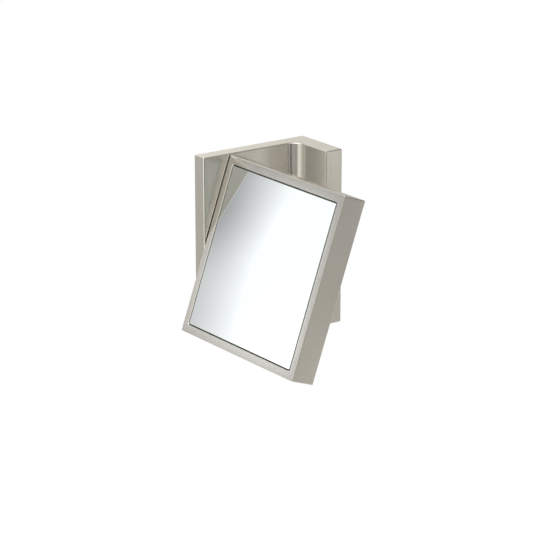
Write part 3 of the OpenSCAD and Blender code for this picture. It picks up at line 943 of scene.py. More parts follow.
@dataclass(frozen=True)
class Pivot:
    """The friction pivot: shaft, block in the head, washers, disc springs and nut, upright about the axis."""

    body = Body.HEAD
    shaft_r: float = 5.0
    stub_r: float = 4.0
    stub_end: float = -29.6
    shoulder: float = -23.05
    block_x: float = -12.5
    shaft_end: float = -5.0
    flat: float = 3.2
    pin_x: float = -8.5
    pin_r: float = 1.25
    pin_y: Spot = (-5.3, 7.8)
    fit: float = 0.02
    block_size: tuple[float, float, float, float] = (8.0, -5.5, 8.0, 26.0)
    screw_z: float = 17.0
    screw: Screw = Screw(Top.SUNK, Drive.HEX, 2.0, 8.0, 4.0, 2.0, (1.4, 1.4), 0.7)
    head_x: float = -15.0
    thrust: tuple[float, float, float] = (-15.95, 5.1, 9.0)
    pressure: tuple[float, float, float, float] = (-24.25, -23.05, 4.05, 7.5)
    disc: tuple[int, float, float] = (3, 0.75, 0.5)
    nut: tuple[float, float, float] = (-29.5, -26.5, 7.5)
    nut_break: Spot = (0.89, 0.95)

    def shaft(self) -> Form:
        """The shaft: thread with a flat, shoulder, plain bearing length and the end held in the block.

        Returns:
            The shaft.
        """
        wide, stub, root = self.shaft_r, self.stub_r, self.stub_r - 0.5
        thread, along = thread_rows(stub, 0.5, 1.0, self.stub_end + 0.5, self.shoulder - 1.6)
        cut = flatted(stub, self.flat)
        radii = np.vstack([round_rows([0.0, root]), np.minimum(thread, cut), [np.minimum(cut, root)] * 2,
                           round_rows([wide - 0.25, wide, wide, wide - 0.2, stub, stub, stub - 0.4, 0.0])])
        step, seat, end = self.shoulder, self.block_x, self.shaft_end
        height = np.concatenate([[self.stub_end] * 2, along, [step - 1.5, step, step, step + 0.25],
                                 [seat - 0.2, seat, seat, end - 0.4, end, end]])
        hole = rod(self.pin_r + self.fit, -9, 9, (self.pin_x, 0), Y)
        return turned(radii, height, (0, 0), X).worked((Cut.CARVE, [hole]))

    def head_block(self) -> Form:
        """The block inside the frame's left wall, bored for the shaft, its pin and two screws.

        Returns:
            The block.
        """
        long, front, back, high = self.block_size
        start, end = self.block_x, self.block_x + long
        holes = [rod(self.stub_r + self.fit, start - 1, end + 1, (0, 0), X),
                 rod(self.pin_r + self.fit, front - 1, back + 1, (self.pin_x, 0), Y)]
        spots = [(0, z) for z in both(self.screw_z)]
        holes += rods(self.screw.radius + 0.05, start - 1, end + 1, spots, X)
        return box_shell((start, front, -high), (end, back, high), Z, 0.5, 0.5).worked((Cut.CARVE, holes))

    def keyed_washer(self) -> Form:
        """The washer whose bore has a flat, so that it turns with the shaft.

        Returns:
            The washer.
        """
        low, high, bore, rim = self.pressure
        rows = round_rows([rim, rim - 0.15, 0, 0, rim - 0.15, rim])
        rows[2:4] = flatted(bore, self.flat + 0.05)
        height = [high - 0.15, high, high, low, low, low + 0.15]
        return turned(rows, height, (0, 0), X, loop=True).to_object()

    def springs(self) -> Form:
        """The disc springs: cone-shaped rings stacked face to face and back to back.

        Returns:
            One object that holds them all.
        """
        count, pitch, thick = self.disc
        bore, rim, start = self.stub_r + 0.1, self.nut[2], self.pressure[0]
        shape = Shell()
        for k in range(count):
            section = np.array([[bore, 0], [rim, pitch - thick], [rim, pitch], [bore, thick]])
            if k % 2:
                section = section[::-1] * (1, -1) + (0, pitch)
            ring = Outline(tuple(map(tuple, section)), (0.12,) * 4, 3).ring()
            height = start - k * pitch - ring[:, 1]
            shape.patches += turned(round_rows(ring[:, 0]), height, (0, 0), X, loop=True).patches
        return shape.to_object()

    def lock_nut(self) -> Form:
        """The thin nut: a hexagon whose corners are turned off at both faces, with a threaded bore.

        Returns:
            The nut.
        """
        low, high, corner = self.nut
        hexed = hexagon(corner)
        face, side = (np.minimum(hexed, corner * share) for share in self.nut_break)
        inner, along = thread_rows(self.stub_r + 0.05, -0.35, 1.0, high - 0.4, low + 0.4)
        mouth = round_rows([self.stub_r + 0.5])
        rows = np.vstack([[face, side, hexed, hexed, side, face], mouth, inner[::-1], mouth])
        height = np.concatenate([[high, high - 0.2, high - 0.5, low + 0.5, low + 0.2, low, low],
                                 along[::-1], [high]])
        return turned(rows, height, (0, 0), X, loop=True).to_object()

    def pieces(self) -> list[Piece]:
        """Builds the pivot.

        Returns:
            The pivot's pieces.
        """
        about = Grain(Lay.TURNED, X)
        start, bore, rim = self.thrust
        middle = (self.head_x + start) / 2
        half = self.head_x - middle
        thrust = turned_ring(Outline.rect((bore, rim), (middle - half, middle + half), 0.15, 3), (0, 0), X)
        pin = rod(self.pin_r, *self.pin_y, (self.pin_x, 0), Y, 0.25)
        spots = tuple((0.0, z) for z in both(self.screw_z))
        screws = [(self.head_x,) + spot for spot in spots]
        return [
            Piece("turned_shaft", "pivot_shaft", self.shaft(), ("stainless",), about),
            Piece("shaft_block", "pivot_block", self.head_block(), ("zinc",), Grain(Lay.UPRIGHT, X)),
            Piece("cross_pin", "shaft_pin", pin.to_object(), ("stainless",),
                  Grain(Lay.TURNED, Y, ((self.pin_x, 0.0),))),
            Piece("sunk_screws_side", "block_screws", self.screw.placed(screws, X, 1), ("stainless",),
                  Grain(Lay.TURNED, X, spots)),
            Piece("steel_washer", "thrust_washer", thrust.to_object(), ("stainless",), about),
            Piece("keyed_washer", "pressure_washer", self.keyed_washer(), ("stainless",), about),
            Piece("spring_stack", "disc_springs", self.springs(), ("black_oxide",), about),
            Piece("thin_nut", "lock_nut", self.lock_nut(), ("stainless",), about),
        ]


@dataclass(frozen=True)
class Head:
    """The mirror head: frame, gasket, glass and its carrier, and the back panel.

    Places are upright about the pivot axis; depths are counted back from the frame's front. A hole
    is the two depths that it runs between, and a sink how far it reaches out of a face and into it.
    """

    body = Body.HEAD
    middle_x: float = 75.5
    half_w: float = 90.5
    half_h: float = 87.5
    deep: float = 25.0
    bezel: float = 8.0
    wall: float = 2.5
    lip: float = 3.0
    edge: float = 0.75
    opening_edge: float = 0.8
    opening_r: float = 2.0
    glass_half: Spot = (81.5, 78.5)
    glass_r: float = 1.5
    glass_in: float = 0.2
    glass_t: float = 4.0
    arris: float = 0.3
    seal: Spot = (0.2, 3.0)
    pad_t: float = 0.8
    pad_half: Spot = (10.0, 66.5)
    carrier: Spot = (5.0, 6.5)
    carrier_gap: float = 0.3
    boss_in: float = 6.0
    boss_r: float = 3.0
    post: tuple[float, float, float, float] = (62.5, 81.5, 4.5, 4.0)
    post_depths: Spot = (7.0, 23.0)
    small_r: float = 1.5
    pan_screw: Screw = Screw(Top.PAN, Drive.CROSS, 1.5, 6.8, 2.7, 1.8, (1.5, 1.0))
    back_screw: Screw = Screw(Top.SUNK, Drive.HEX, 1.5, 8.9, 3.0, 1.5, (1.1, 1.1))
    back_t: float = 2.0
    back_gap: float = 0.2
    back_in: float = 0.1
    clear: float = 0.2
    boss_hole: Spot = (1.2, 6.0)
    post_hole: Spot = (14.0, 24.0)
    carrier_hole: Spot = (3.0, 9.0)
    back_hole: Spot = (20.0, 27.0)
    sink: Spot = (0.1, 1.6)
    side_sink: Spot = (0.05, 1.95)
    thread_gap: float = 0.05

    def at(self, depth: float) -> float:
        """y about the pivot axis of a depth behind the front."""
        return depth - self.deep / 2

    def places(self, x: float, z: float) -> list[Spot]:
        """Four places about the head's middle: x and z about the pivot axis."""
        return [(self.middle_x + sx * x, sz * z) for sx in (-1, 1) for sz in (-1, 1)]

    def corners(self) -> list[Spot]:
        """Places of the carrier's four screws."""
        return self.places(self.half_w - self.boss_in, self.half_h - self.boss_in)

    def posts(self) -> list[Spot]:
        """Places of the back panel's four screws."""
        return self.places(*self.post[:2])

    def drill(self, radius: float, near: float, far: float, places: Sequence[Spot],
              radius_far: Optional[float] = None) -> list[Shell]:
        """Equal rods or cones between two depths."""
        return rods(radius, self.at(near), self.at(far), places, Y, radius_far)

    def frame_of(self, half_w: float, half_h: float, radius: float) -> Outline:
        """A rectangle about the head's middle, in x and z, with six facets round each corner."""
        return Outline.rect((self.middle_x - half_w, self.middle_x + half_w), (-half_h, half_h), radius, 6)

    def sheet(self, gap: float, radius: float, near: float, far: float, eases: tuple[float, ...]) -> Shell:
        """A sheet that fills the frame between two depths, but for a gap all round.

        Args:
            gap: the gap.
            radius: its corners' radius.
            near: depth of its front.
            far: depth of its back.
            eases: radius of its rims, or of the front's and the back's.

        Returns:
            The closed shell.
        """
        inset = self.wall + gap
        outline = self.frame_of(self.half_w - inset, self.half_h - inset, radius)
        return block(outline, self.at(near), self.at(far), Y, *eases)

    def swept(self, section: Outline, half_w: float, half_h: float, radius: float,
              grow: float = 0.0) -> Shell:
        """A section carried round a rectangle: its u is how far inside the rectangle, its v the depth.

        Args:
            section: closed outline of inset and depth.
            half_w: half the rectangle's width.
            half_h: half its height.
            radius: its corners' radius.
            grow: what that radius gains for each millimetre of inset.

        Returns:
            The closed shell.
        """
        stations = section.ring()
        rings = np.stack([self.frame_of(half_w - u, half_h - u, radius + grow * u).ring()
                          for u in stations[:, 0]])
        grid = lay_along(rings[..., 0], rings[..., 1], self.at(stations[:, 1])[:, None], Y)
        return Shell().add_rings(grid, loop=True)

    def side_holes(self) -> list[Shell]:
        """The shaft's hole in the frame's left wall, and the sunk holes of the block's screws.

        Returns:
            The tools.
        """
        pivot = Pivot()
        side, inside, screw = pivot.head_x, pivot.head_x + self.wall, pivot.screw
        out, into = self.side_sink
        tools = [rod(pivot.shaft_r + self.clear, side - 1, inside + 1, (0, 0), X)]
        for z in both(pivot.screw_z):
            tools.append(rod(screw.radius + self.clear, side - 1, inside + 1, (0, z), X))
            tools += rods(screw.head_radius + 0.1, side - out, side + into, [(0, z)], X, screw.radius + 0.1)
        return tools

    def tray(self) -> Form:
        """The frame: its wall and lip carried round the head, then bosses, posts and holes.

        Returns:
            The frame.
        """
        e, grow = self.edge, (self.opening_r - self.edge) / self.bezel
        section = Outline(((0, 0), (self.bezel, 0), (self.bezel, self.lip), (self.wall, self.lip),
                           (self.wall, self.deep), (0, self.deep)),
                          (e, self.opening_edge, 0.2, 0.8, 0.3, e), 4)
        _, _, wide, high = self.post
        near, far = (self.at(depth) for depth in self.post_depths)
        posts = [box_shell((x - wide, near, z - high), (x + wide, far, z + high), Y, 0.8)
                 for x, z in self.posts()]
        bosses = self.drill(self.boss_r, self.lip - 0.5, self.carrier[0], self.corners())
        tapped = self.small_r + self.thread_gap
        holes = self.drill(tapped, *self.boss_hole, self.corners())
        holes += self.drill(tapped, *self.post_hole, self.posts())
        form = self.swept(section, self.half_w, self.half_h, e, grow)
        return form.worked((Cut.ADD, bosses + posts), (Cut.CARVE, holes + self.side_holes()))

    def gasket(self) -> Form:
        """The black seal behind the gap: a bead carried round the glass, cut clear of the bosses.

        Returns:
            The gasket.
        """
        gap, wide = self.seal
        low, high = self.lip, self.carrier[0]
        section = Outline(((0, low), (wide, low), (wide, high), (0, high)), (0.3, 0.9, 0.3, 0.3), 4)
        form = self.swept(section, self.glass_half[0] + gap + wide, self.glass_half[1] + gap + wide, 2.0)
        return form.worked((Cut.CARVE, self.drill(self.boss_r + self.clear, 0, high + 1, self.corners())))

    def glass(self) -> Form:
        """The glass: silvered face in slot 0, ground bevel and edges in slot 1.

        Returns:
            The glass.
        """
        front, back, arris = self.glass_in, self.glass_in + self.glass_t, self.arris
        outline = self.frame_of(*self.glass_half, self.glass_r)
        levels = np.array([[front, arris], [front + arris, 0.0], [back - arris, 0.0], [back, arris]])
        rings = np.stack([outline.ring(inset) for inset in levels[:, 1]])
        grid = lay_along(rings[..., 0], rings[..., 1], self.at(levels[:, :1]), Y)
        return Shell().add_rings(grid, slot=1).add_lid(grid[0]).add_lid(grid[-1], 1).to_object()

    def pads(self) -> Form:
        """Three foam strips between the glass and its carrier.

        Returns:
            One object that holds them all.
        """
        wide, tall = self.pad_half
        high = self.at(self.carrier[0])
        shape = Shell()
        for x in (-1, 0, 1):
            centre = self.middle_x + x * self.glass_half[0] * 2 / 3
            shape.patches += box_shell((centre - wide, high - self.pad_t, -tall), (centre + wide, high, tall),
                                       Y, 0.6, 0.12).patches
        return shape.to_object()

    def back_panel(self) -> Form:
        """The panel let into the frame's back, with four countersunk holes.

        Returns:
            The panel.
        """
        hole, cone = self.small_r + 0.1, self.back_screw.head_radius + 0.3
        out, into = self.sink
        tools = []
        for place in self.posts():
            tools += self.drill(hole, *self.back_hole, [place])
            tools += self.drill(hole, self.deep - into, self.deep + out, [place], cone)
        form = self.sheet(self.back_gap, 0.9, self.deep - self.back_t, self.deep, (0.1, 0.35))
        return form.worked((Cut.CARVE, tools))

    def screws(self, screw: Screw, places: Sequence[Spot], depth: float) -> Form:
        """Screws driven from the back towards the glass, with their heads' faces at a depth."""
        return screw.placed([(x, self.at(depth), z) for x, z in places], Y, -1)

    def pieces(self) -> list[Piece]:
        """Builds the head.

        Returns:
            The head's pieces.
        """
        upright = Grain(Lay.UPRIGHT, X)
        corners, posts = self.corners(), self.posts()
        carrier = self.sheet(self.carrier_gap, 1.0, *self.carrier, (0.15,))
        holes = self.drill(self.small_r + self.clear, *self.carrier_hole, corners)
        crown = self.carrier[1] + self.pan_screw.head_height
        return [
            Piece("mirror_tray", "mirror_frame", self.tray(), ("nickel",), upright),
            Piece("glass_seal", "glass_gasket", self.gasket(), ("rubber",), upright),
            # The pane's edges take the near-black finish that paints the shade of the gap round the glass.
            Piece("silvered_pane", "mirror_glass", self.glass(), ("silvered", "ground_edge_painted_shade"), upright),
            Piece("foam_strips", "adhesive_pads", self.pads(), ("foam",), upright),
            Piece("carrier_sheet", "carrier_plate", carrier.worked((Cut.CARVE, holes)), ("aluminium",),
                  Grain(Lay.SIDEWAYS, X)),
            Piece("pan_screws", "carrier_screws", self.screws(self.pan_screw, corners, crown), ("stainless",),
                  Grain(Lay.TURNED, Y, tuple(corners))),
            Piece("back_panel", "back_cover", self.back_panel(), ("nickel",), upright),
            Piece("sunk_screws_back", "back_cover_screws",
                  self.screws(self.back_screw, posts, self.deep - self.back_in), ("stainless",),
                  Grain(Lay.TURNED, Y, tuple(posts))),
        ]


# ---- shader graphs ----

class Graph:
    """A node tree with short calls that add nodes and join their sockets."""

    def __init__(self, tree: bpy.types.NodeTree) -> None:
        """Holds the tree to fill."""
        self.tree = tree

    def fill(self, node: bpy.types.Node, inputs: dict[Union[str, int], Value]) -> bpy.types.Node:
        """Fills a node's sockets.

        Args:
            node: the node.
            inputs: by a socket's name or number, a socket to link to it or a value to set.

        Returns:
            The node.
        """
        for key, value in inputs.items():
            if isinstance(value, Socket):
                self.tree.links.new(value, node.inputs[key])
            else:
                node.inputs[key].default_value = value
        return node

    def add(self, kind: str, inputs: Optional[dict[Union[str, int], Value]] = None,
            **settings) -> bpy.types.Node:
        """Adds a node.

        Args:
            kind: its type, without the ShaderNode prefix.
            inputs: what goes into its sockets.
            settings: its other properties.

        Returns:
            The node.
        """
        node = self.tree.nodes.new(kind if kind.startswith("Node") else "ShaderNode" + kind)
        for key, value in settings.items():
            setattr(node, key, value)
        return self.fill(node, inputs or {})

    def math(self, operation: str, a: Value, b: Value = 0.0, c: Value = 0.0, clamp: bool = False) -> Socket:
        """A Math node's result, held between 0 and 1 if it is clamped."""
        return self.add("Math", {0: a, 1: b, 2: c}, operation=operation, use_clamp=clamp).outputs[0]

    def times(self, a: Value, b: Value, plus: Value = 0.0, clamp: bool = False) -> Socket:
        """The product of two values, with a third added to it."""
        return self.math("MULTIPLY_ADD", a, b, plus, clamp)

    def group(self, tree: bpy.types.NodeTree, **inputs: Value) -> bpy.types.bpy_prop_collection:
        """The outputs of a shader group placed with its own values; an input's spaces are underscores."""
        return self.add("Group", {key.replace("_", " "): value for key, value in inputs.items()},
                        node_tree=tree).outputs

    def vector(self, operation: str, a: Value, b: Value) -> Socket:
        """A Vector Math node's result: the number of a dot product, or else the vector."""
        node = self.add("VectorMath", {0: a, "Scale" if operation == "SCALE" else 1: b}, operation=operation)
        return node.outputs["Value" if operation == "DOT_PRODUCT" else "Vector"]

    def spread(self, value: Value, low: float, high: float, to_low: float = 0.0, to_high: float = 1.0,
               kind: str = "LINEAR") -> Socket:
        """Maps a value from one range to another, held at its ends, straight or with a smooth step."""
        inputs = {"Value": value, "From Min": low, "From Max": high, "To Min": to_low, "To Max": to_high}
        return self.add("MapRange", inputs, interpolation_type=kind).outputs[0]

    def noise(self, vector: Value, scale: float, detail: float = 2.0, rough: float = 0.5) -> Socket:
        """Noise stretched to fill 0 to 1: its scale, how many finer layers it has and how strong they are."""
        made = self.add("TexNoise", {"Vector": vector, "Scale": scale, "Detail": detail, "Roughness": rough})
        return self.spread(made.outputs["Fac"], *NOISE_SPAN)

    def mix(self, share: Value, a: Value, b: Value) -> Socket:
        """A mix of two colours, by the share of the second."""
        return self.add("Mix", {0: share, 6: a, 7: b}, data_type="RGBA").outputs[2]

    def blend(self, share: Value, a: Value, b: Value) -> Socket:
        """A mix of two shaders, by the share of the second."""
        return self.add("MixShader", {0: share, 1: a, 2: b}).outputs[0]

    def bump(self, height: Value, strength: float, distance: float) -> Socket:
        """The normal of a relief whose full height is a distance in hundredths of a millimetre."""
        inputs = {"Height": height, "Strength": strength, "Distance": distance * MM / 100}
        return self.add("Bump", inputs).outputs["Normal"]

    def grain(self) -> Socket:
        """The piece's own pattern coordinates: across the marks, along them, and the depth."""
        return self.add("Attribute", attribute_name="grain").outputs["Vector"]


class Group(Graph):
    """A shader node group under construction: its number inputs are given, and outputs are added."""

    def __init__(self, name: str, inputs: dict[str, float]) -> None:
        """Starts the group.

        Args:
            name: its name.
            inputs: its inputs' names and defaults.
        """
        super().__init__(bpy.data.node_groups.new(name, "ShaderNodeTree"))
        for key, value in inputs.items():
            self.add_socket(key, "INPUT").default_value = value
        self.given = self.add("NodeGroupInput").outputs
        self.end = self.add("NodeGroupOutput")

    def add_socket(self, key: str, way: str) -> bpy.types.NodeTreeInterfaceSocket:
        """Adds a number to the group's inputs or outputs."""
        return self.tree.interface.new_socket(key, in_out=way, socket_type="NodeSocketFloat")

    def put_out(self, key: str, value: Socket) -> None:
        """Adds an output and links a value to it."""
        self.add_socket(key, "OUTPUT")
        self.fill(self.end, {key: value})


class Effects:
    """The shader groups that several finishes share."""

    def __init__(self) -> None:
        """Builds every group once."""
        self.brush = self.make_brush()
        self.wear = self.make_wear()
        self.smudge = self.make_smudge()
        self.grit = self.make_grit()

    def make_brush(self) -> bpy.types.NodeTree:
        """Fine straight lines: noise stretched along the marks, once fine and once as broad bands.

        Returns:
            The group.
        """
        group = Group("brush_lines", {"Per mm": 3.0, "Length": 40.0})
        along = group.math("DIVIDE", 1.0, group.given["Length"])
        fine = group.add("CombineXYZ", {0: group.given["Per mm"], 1: along, 2: group.given["Per mm"]})
        at = group.vector("MULTIPLY", group.grain(), fine.outputs[0])
        group.put_out("Line", group.noise(at, 1.0, 4.0, 0.7))
        group.put_out("Band", group.noise(at, 0.12, 3.0, 0.6))
        group.put_out("Scratch", group.spread(group.noise(at, 0.6, 1.0, 0.3), 0.86, 1.0, kind=SMOOTH))
        return group.tree

    def make_wear(self) -> bpy.types.NodeTree:
        """Edges rubbed bright: the stored bend of the surface, broken up by noise.

        Returns:
            The group.
        """
        group = Group("edge_wear", {"Amount": 0.6, "Patchy": 0.5})
        bend = group.add("Attribute", attribute_name="edge").outputs["Fac"]
        patches = group.noise(group.add("TexCoord").outputs["Object"], 90.0, 3.0, 0.6)
        kept = group.times(group.math("SUBTRACT", patches, 1.0), group.given["Patchy"], 1.0)
        worn = group.times(group.times(bend, kept), group.given["Amount"], clamp=True)
        group.put_out("Wear", worn)
        return group.tree

    def make_smudge(self) -> bpy.types.NodeTree:
        """Marks of handling: soft wide clouds, whose size is in millimetres, and smaller blots inside them.

        Returns:
            The group.
        """
        group = Group("handling", {"Size": 30.0})
        per_metre = group.math("DIVIDE", 1000.0, group.given["Size"])
        at = group.vector("SCALE", group.add("TexCoord").outputs["Object"], per_metre)
        cloud = group.noise(at, 1.0)
        blot = group.spread(group.noise(at, 4.5, 3.0, 0.6), 0.55, 0.95, kind=SMOOTH)
        group.put_out("Cloud", cloud)
        group.put_out("Blot", group.times(blot, cloud))
        return group.tree

    def make_grit(self) -> bpy.types.NodeTree:
        """Grain of moulded and foamed parts: fine noise, and round pores between cells.

        Returns:
            The group.
        """
        group = Group("grit", {"Per mm": 4.0})
        at = group.vector("SCALE", group.grain(), group.given["Per mm"])
        group.put_out("Grit", group.noise(at, 1.0, 3.0, 0.6))
        cells = group.add("TexVoronoi", {"Vector": at, "Scale": 0.8}).outputs["Distance"]
        group.put_out("Pore", group.spread(cells, 0.15, 0.55, kind=SMOOTH))
        return group.tree


# ---- finishes ----

@dataclass(frozen=True)
class Finish:
    """A finish: a name, a base colour and a look, which says what feeds the Principled shader."""

    name: str
    base: Colour

    def shaded(self, factor: float) -> tuple[float, ...]:
        """The base colour made lighter or darker, with full alpha."""
        return tuple(min(1.0, c * factor) for c in self.base) + (1.0,)

    def look(self, graph: Graph, effects: Effects) -> dict[str, Value]:
        """What feeds the Principled shader.

        Args:
            graph: the material's graph.
            effects: the shared shader groups.

        Returns:
            Sockets and values by the shader's input.
        """
        raise NotImplementedError

    def build(self, effects: Effects) -> bpy.types.Material:
        """Makes the material.

        Args:
            effects: the shared shader groups.

        Returns:
            The material.
        """
        material = bpy.data.materials.new(self.name)
        material.use_nodes = True
        graph = Graph(material.node_tree)
        graph.fill(graph.tree.nodes["Principled BSDF"], self.look(graph, effects))
        return material


@dataclass(frozen=True)
class MetalFinish(Finish):
    """A metal with lines, worn edges and marks of handling."""

    rough: float
    per_mm: float = 3.0
    length: float = 40.0
    contrast: float = 0.06
    rough_spread: float = 0.10
    groove: float = 1.0
    wear: float = 0.5
    wear_tone: float = 1.25
    smudge: float = 0.03
    tarnish: Colour = (0.40, 0.36, 0.30)
    tarnish_share: float = 0.05

    def look(self, graph: Graph, effects: Effects) -> dict[str, Value]:
        """Brush lines in colour and height, tarnish in clouds, and smooth bright edges.

        Args:
            graph: the material's graph.
            effects: the shared shader groups.

        Returns:
            Sockets and values by the shader's input.
        """
        lines = graph.group(effects.brush, Per_mm=self.per_mm, Length=self.length)
        wear = graph.group(effects.wear, Amount=self.wear)["Wear"]
        marks = graph.group(effects.smudge)
        tone = graph.times(lines["Line"], 0.45, graph.times(lines["Band"], 0.55))
        colour = graph.mix(tone, self.shaded(1 - self.contrast), self.shaded(1 + self.contrast))
        stain = graph.times(marks["Cloud"], self.tarnish_share)
        colour = graph.mix(stain, colour, self.tarnish + (1.0,))
        rough = graph.times(lines["Line"], self.rough_spread, self.rough - self.rough_spread / 2)
        rough = graph.times(marks["Blot"], self.smudge, rough)
        height = graph.times(lines["Scratch"], -0.8, lines["Line"])
        return {
            "Base Color": graph.mix(wear, colour, self.shaded(self.wear_tone)),
            "Roughness": graph.times(wear, -0.08, rough, clamp=True),
            "Normal": graph.bump(height, 0.5, self.groove),
            "Metallic": 1.0,
        }


@dataclass(frozen=True)
class MouldedFinish(Finish):
    """A plastic, rubber or foam with a fine grain and, on foam, pores."""

    rough: float
    per_mm: float = 4.0
    contrast: float = 0.08
    pores: float = 0.0
    relief: float = 2.0
    wear: float = 0.3
    wear_tone: float = 1.3

    def look(self, graph: Graph, effects: Effects) -> dict[str, Value]:
        """Grain and dark pores in colour and height, and edges rubbed paler.

        Args:
            graph: the material's graph.
            effects: the shared shader groups.

        Returns:
            Sockets and values by the shader's input.
        """
        grit = graph.group(effects.grit, Per_mm=self.per_mm)
        wear = graph.group(effects.wear, Amount=self.wear)["Wear"]
        marks = graph.group(effects.smudge)
        colour = graph.mix(grit["Grit"], self.shaded(1 - self.contrast), self.shaded(1 + self.contrast))
        pore = graph.times(graph.math("SUBTRACT", 1.0, grit["Pore"]), self.pores)
        colour = graph.mix(pore, colour, self.shaded(0.35))
        rough = graph.times(grit["Grit"], 0.12, self.rough - 0.06)
        return {
            "Base Color": graph.mix(wear, colour, self.shaded(self.wear_tone)),
            "Roughness": graph.times(marks["Blot"], 0.06, rough, clamp=True),
            "Normal": graph.bump(graph.times(pore, -3.0, grit["Grit"]), 0.6, self.relief),
        }


@dataclass(frozen=True)
class SilveredFinish(Finish):
    """Polished glass with silver behind it: a clear reflection, faintly cool, with traces of wiping."""

    rim_tint: Colour = (0.80, 0.88, 0.86)
    rim: float = 1.2
    half: Spot = Head.glass_half
    middle_x: float = Head.middle_x
    wipe: float = 0.012

    def look(self, graph: Graph, effects: Effects) -> dict[str, Value]:
        """Greener within the rim's width of the edge, and a little rough where wiped.

        Args:
            graph: the material's graph.
            effects: the shared shader groups.

        Returns:
            Sockets and values by the shader's input.
        """
        across = graph.add("SeparateXYZ", {0: graph.grain()}).outputs
        from_side = graph.math("ABSOLUTE", graph.math("SUBTRACT", across[0], self.middle_x))
        to_side = graph.math("SUBTRACT", self.half[0], from_side)
        to_top = graph.math("SUBTRACT", self.half[1], graph.math("ABSOLUTE", across[1]))
        near = graph.spread(graph.math("MINIMUM", to_side, to_top), self.rim, 0.0, kind=SMOOTH)
        marks = graph.group(effects.smudge, Size=45.0)
        return {
            "Base Color": graph.mix(near, self.base + (1.0,), self.rim_tint + (1.0,)),
            "Roughness": graph.times(marks["Blot"], self.wipe),
            "Metallic": 1.0,
        }


@dataclass(frozen=True)
class GroundFinish(Finish):
    """The ground edge of the glass, finely frosted, coloured a near-black green as painted shade for the gap round
    the glass.
    """

    rough: float

    def look(self, graph: Graph, effects: Effects) -> dict[str, Value]:
        """Frost in colour, roughness and height, under a thin coat.

        Args:
            graph: the material's graph.
            effects: the shared shader groups.

        Returns:
            Sockets and values by the shader's input.
        """
        grit = graph.group(effects.grit, Per_mm=7.0)["Grit"]
        return {
            "Base Color": graph.mix(grit, self.shaded(0.9), self.shaded(1.1)),
            "Roughness": graph.times(grit, 0.15, self.rough),
            "Normal": graph.bump(grit, 0.4, 1.0),
            "Coat Weight": 0.4,
        }


FINISHES = (
    MetalFinish("nickel", (0.82, 0.80, 0.762), 0.24, per_mm=2.6, length=45, contrast=0.05, rough_spread=0.05),
    MetalFinish("zinc", (0.60, 0.62, 0.64), 0.38, per_mm=1.5, length=25, contrast=0.08, wear_tone=1.1,
                tarnish=(0.50, 0.47, 0.36), tarnish_share=0.25),
    MetalFinish("stainless", (0.62, 0.61, 0.59), 0.22, per_mm=7.0, length=60, wear_tone=1.15),
    MetalFinish("black_oxide", (0.10, 0.10, 0.11), 0.42, per_mm=4.0, length=30, contrast=0.10,
                wear_tone=3.0, tarnish=(0.16, 0.11, 0.08), tarnish_share=0.2),
    MetalFinish("aluminium", (0.74, 0.75, 0.76), 0.36, per_mm=2.0, length=80, contrast=0.05, wear_tone=1.1),
    MouldedFinish("acetal", (0.80, 0.80, 0.77), 0.38, per_mm=5.0, contrast=0.03, relief=1.0, wear_tone=1.1),
    MouldedFinish("rubber", (0.030, 0.030, 0.031), 0.62, per_mm=6.0, contrast=0.2, wear_tone=1.8),
    MouldedFinish("foam", (0.055, 0.055, 0.06), 0.85, per_mm=2.5, contrast=0.25, pores=0.6, relief=8.0),
    SilveredFinish("silvered", (0.90, 0.935, 0.94)),
    # Near-black edge colour: painted shade standing in for the shade in the gap round the glass.
    GroundFinish("ground_edge_painted_shade", (0.050, 0.062, 0.060), 0.32),
)


# ---- studio ----

def direction(azimuth: float, elevation: float) -> np.ndarray:
    """Unit vector towards an azimuth, in degrees from -Y towards +X, and an elevation above the horizon."""
    a, e = math.radians(azimuth), math.radians(elevation)
    return np.array([math.sin(a) * math.cos(e), -math.cos(a) * math.cos(e), math.sin(e)])


class Light(Graph):
    """The graph of a stage item's material or of the world, started empty."""

    def __init__(self, owner: Union[bpy.types.Material, bpy.types.World]) -> None:
        """Empties the owner's node tree and holds it."""
        owner.use_nodes = True
        owner.node_tree.nodes.clear()
        super().__init__(owner.node_tree)

    def behind_camera(self, kind: str, lit: Value, plain: Value) -> Socket:
        """A shader that shows the camera one colour and the object another.

        Args:
            kind: type of the shader that the camera sees.
            lit: the shader that lights the object.
            plain: the camera's colour.

        Returns:
            The shader.
        """
        seen = self.add("LightPath").outputs["Is Camera Ray"]
        return self.blend(seen, lit, self.add(kind, {"Color": plain}).outputs[0])

    def one_sided(self, front: Socket) -> Socket:
        """A shader on the front of a face, and clear behind."""
        behind = self.add("NewGeometry").outputs["Backfacing"]
        return self.blend(behind, front, self.add("BsdfTransparent").outputs[0])


def stand(name: str, points: np.ndarray, look: bpy.types.Material, hidden: bool = True,
          places: Optional[np.ndarray] = None) -> None:
    """Makes a stage item of one flat face.

    Args:
        name: its name.
        points: its corners in metres.
        look: its material.
        hidden: whether the camera can't see it, and it casts no shadow.
        places: u and v of each corner.
    """
    mesh = bpy.data.meshes.new(name)
    mesh.from_pydata(points, [], [list(range(len(points)))])
    if places is not None:
        mesh.uv_layers.new(name="card").data.foreach_set("uv", places.ravel())
    mesh.materials.append(look)
    item = link(name, mesh)
    item.visible_camera = item.visible_shadow = not hidden


@dataclass(frozen=True)
class Lobe:
    """A soft bright patch of the surroundings, brightest along its axis."""

    azimuth: float
    elevation: float
    strength: float
    half_width: float = 42.0


@dataclass(frozen=True)
class Patch:
    """A soft bright patch on a card: a bell curve about a place on it, both as shares of its size."""

    u: float
    v: float
    strength: float
    width: float = 0.21
    height: float = 0.28


@dataclass(frozen=True)
class Shade:
    """A soft shadow that hangs over one side of a card, heavier at the card's top.

    Its darkness is greatest at the left side and falls to nothing at a line, as one less the run
    towards that line raised to the bow. It is eased from the top's value to the bottom's.
    """

    at_top: float
    at_bottom: float
    end_top: float
    end_bottom: float
    bow: float = 1.25


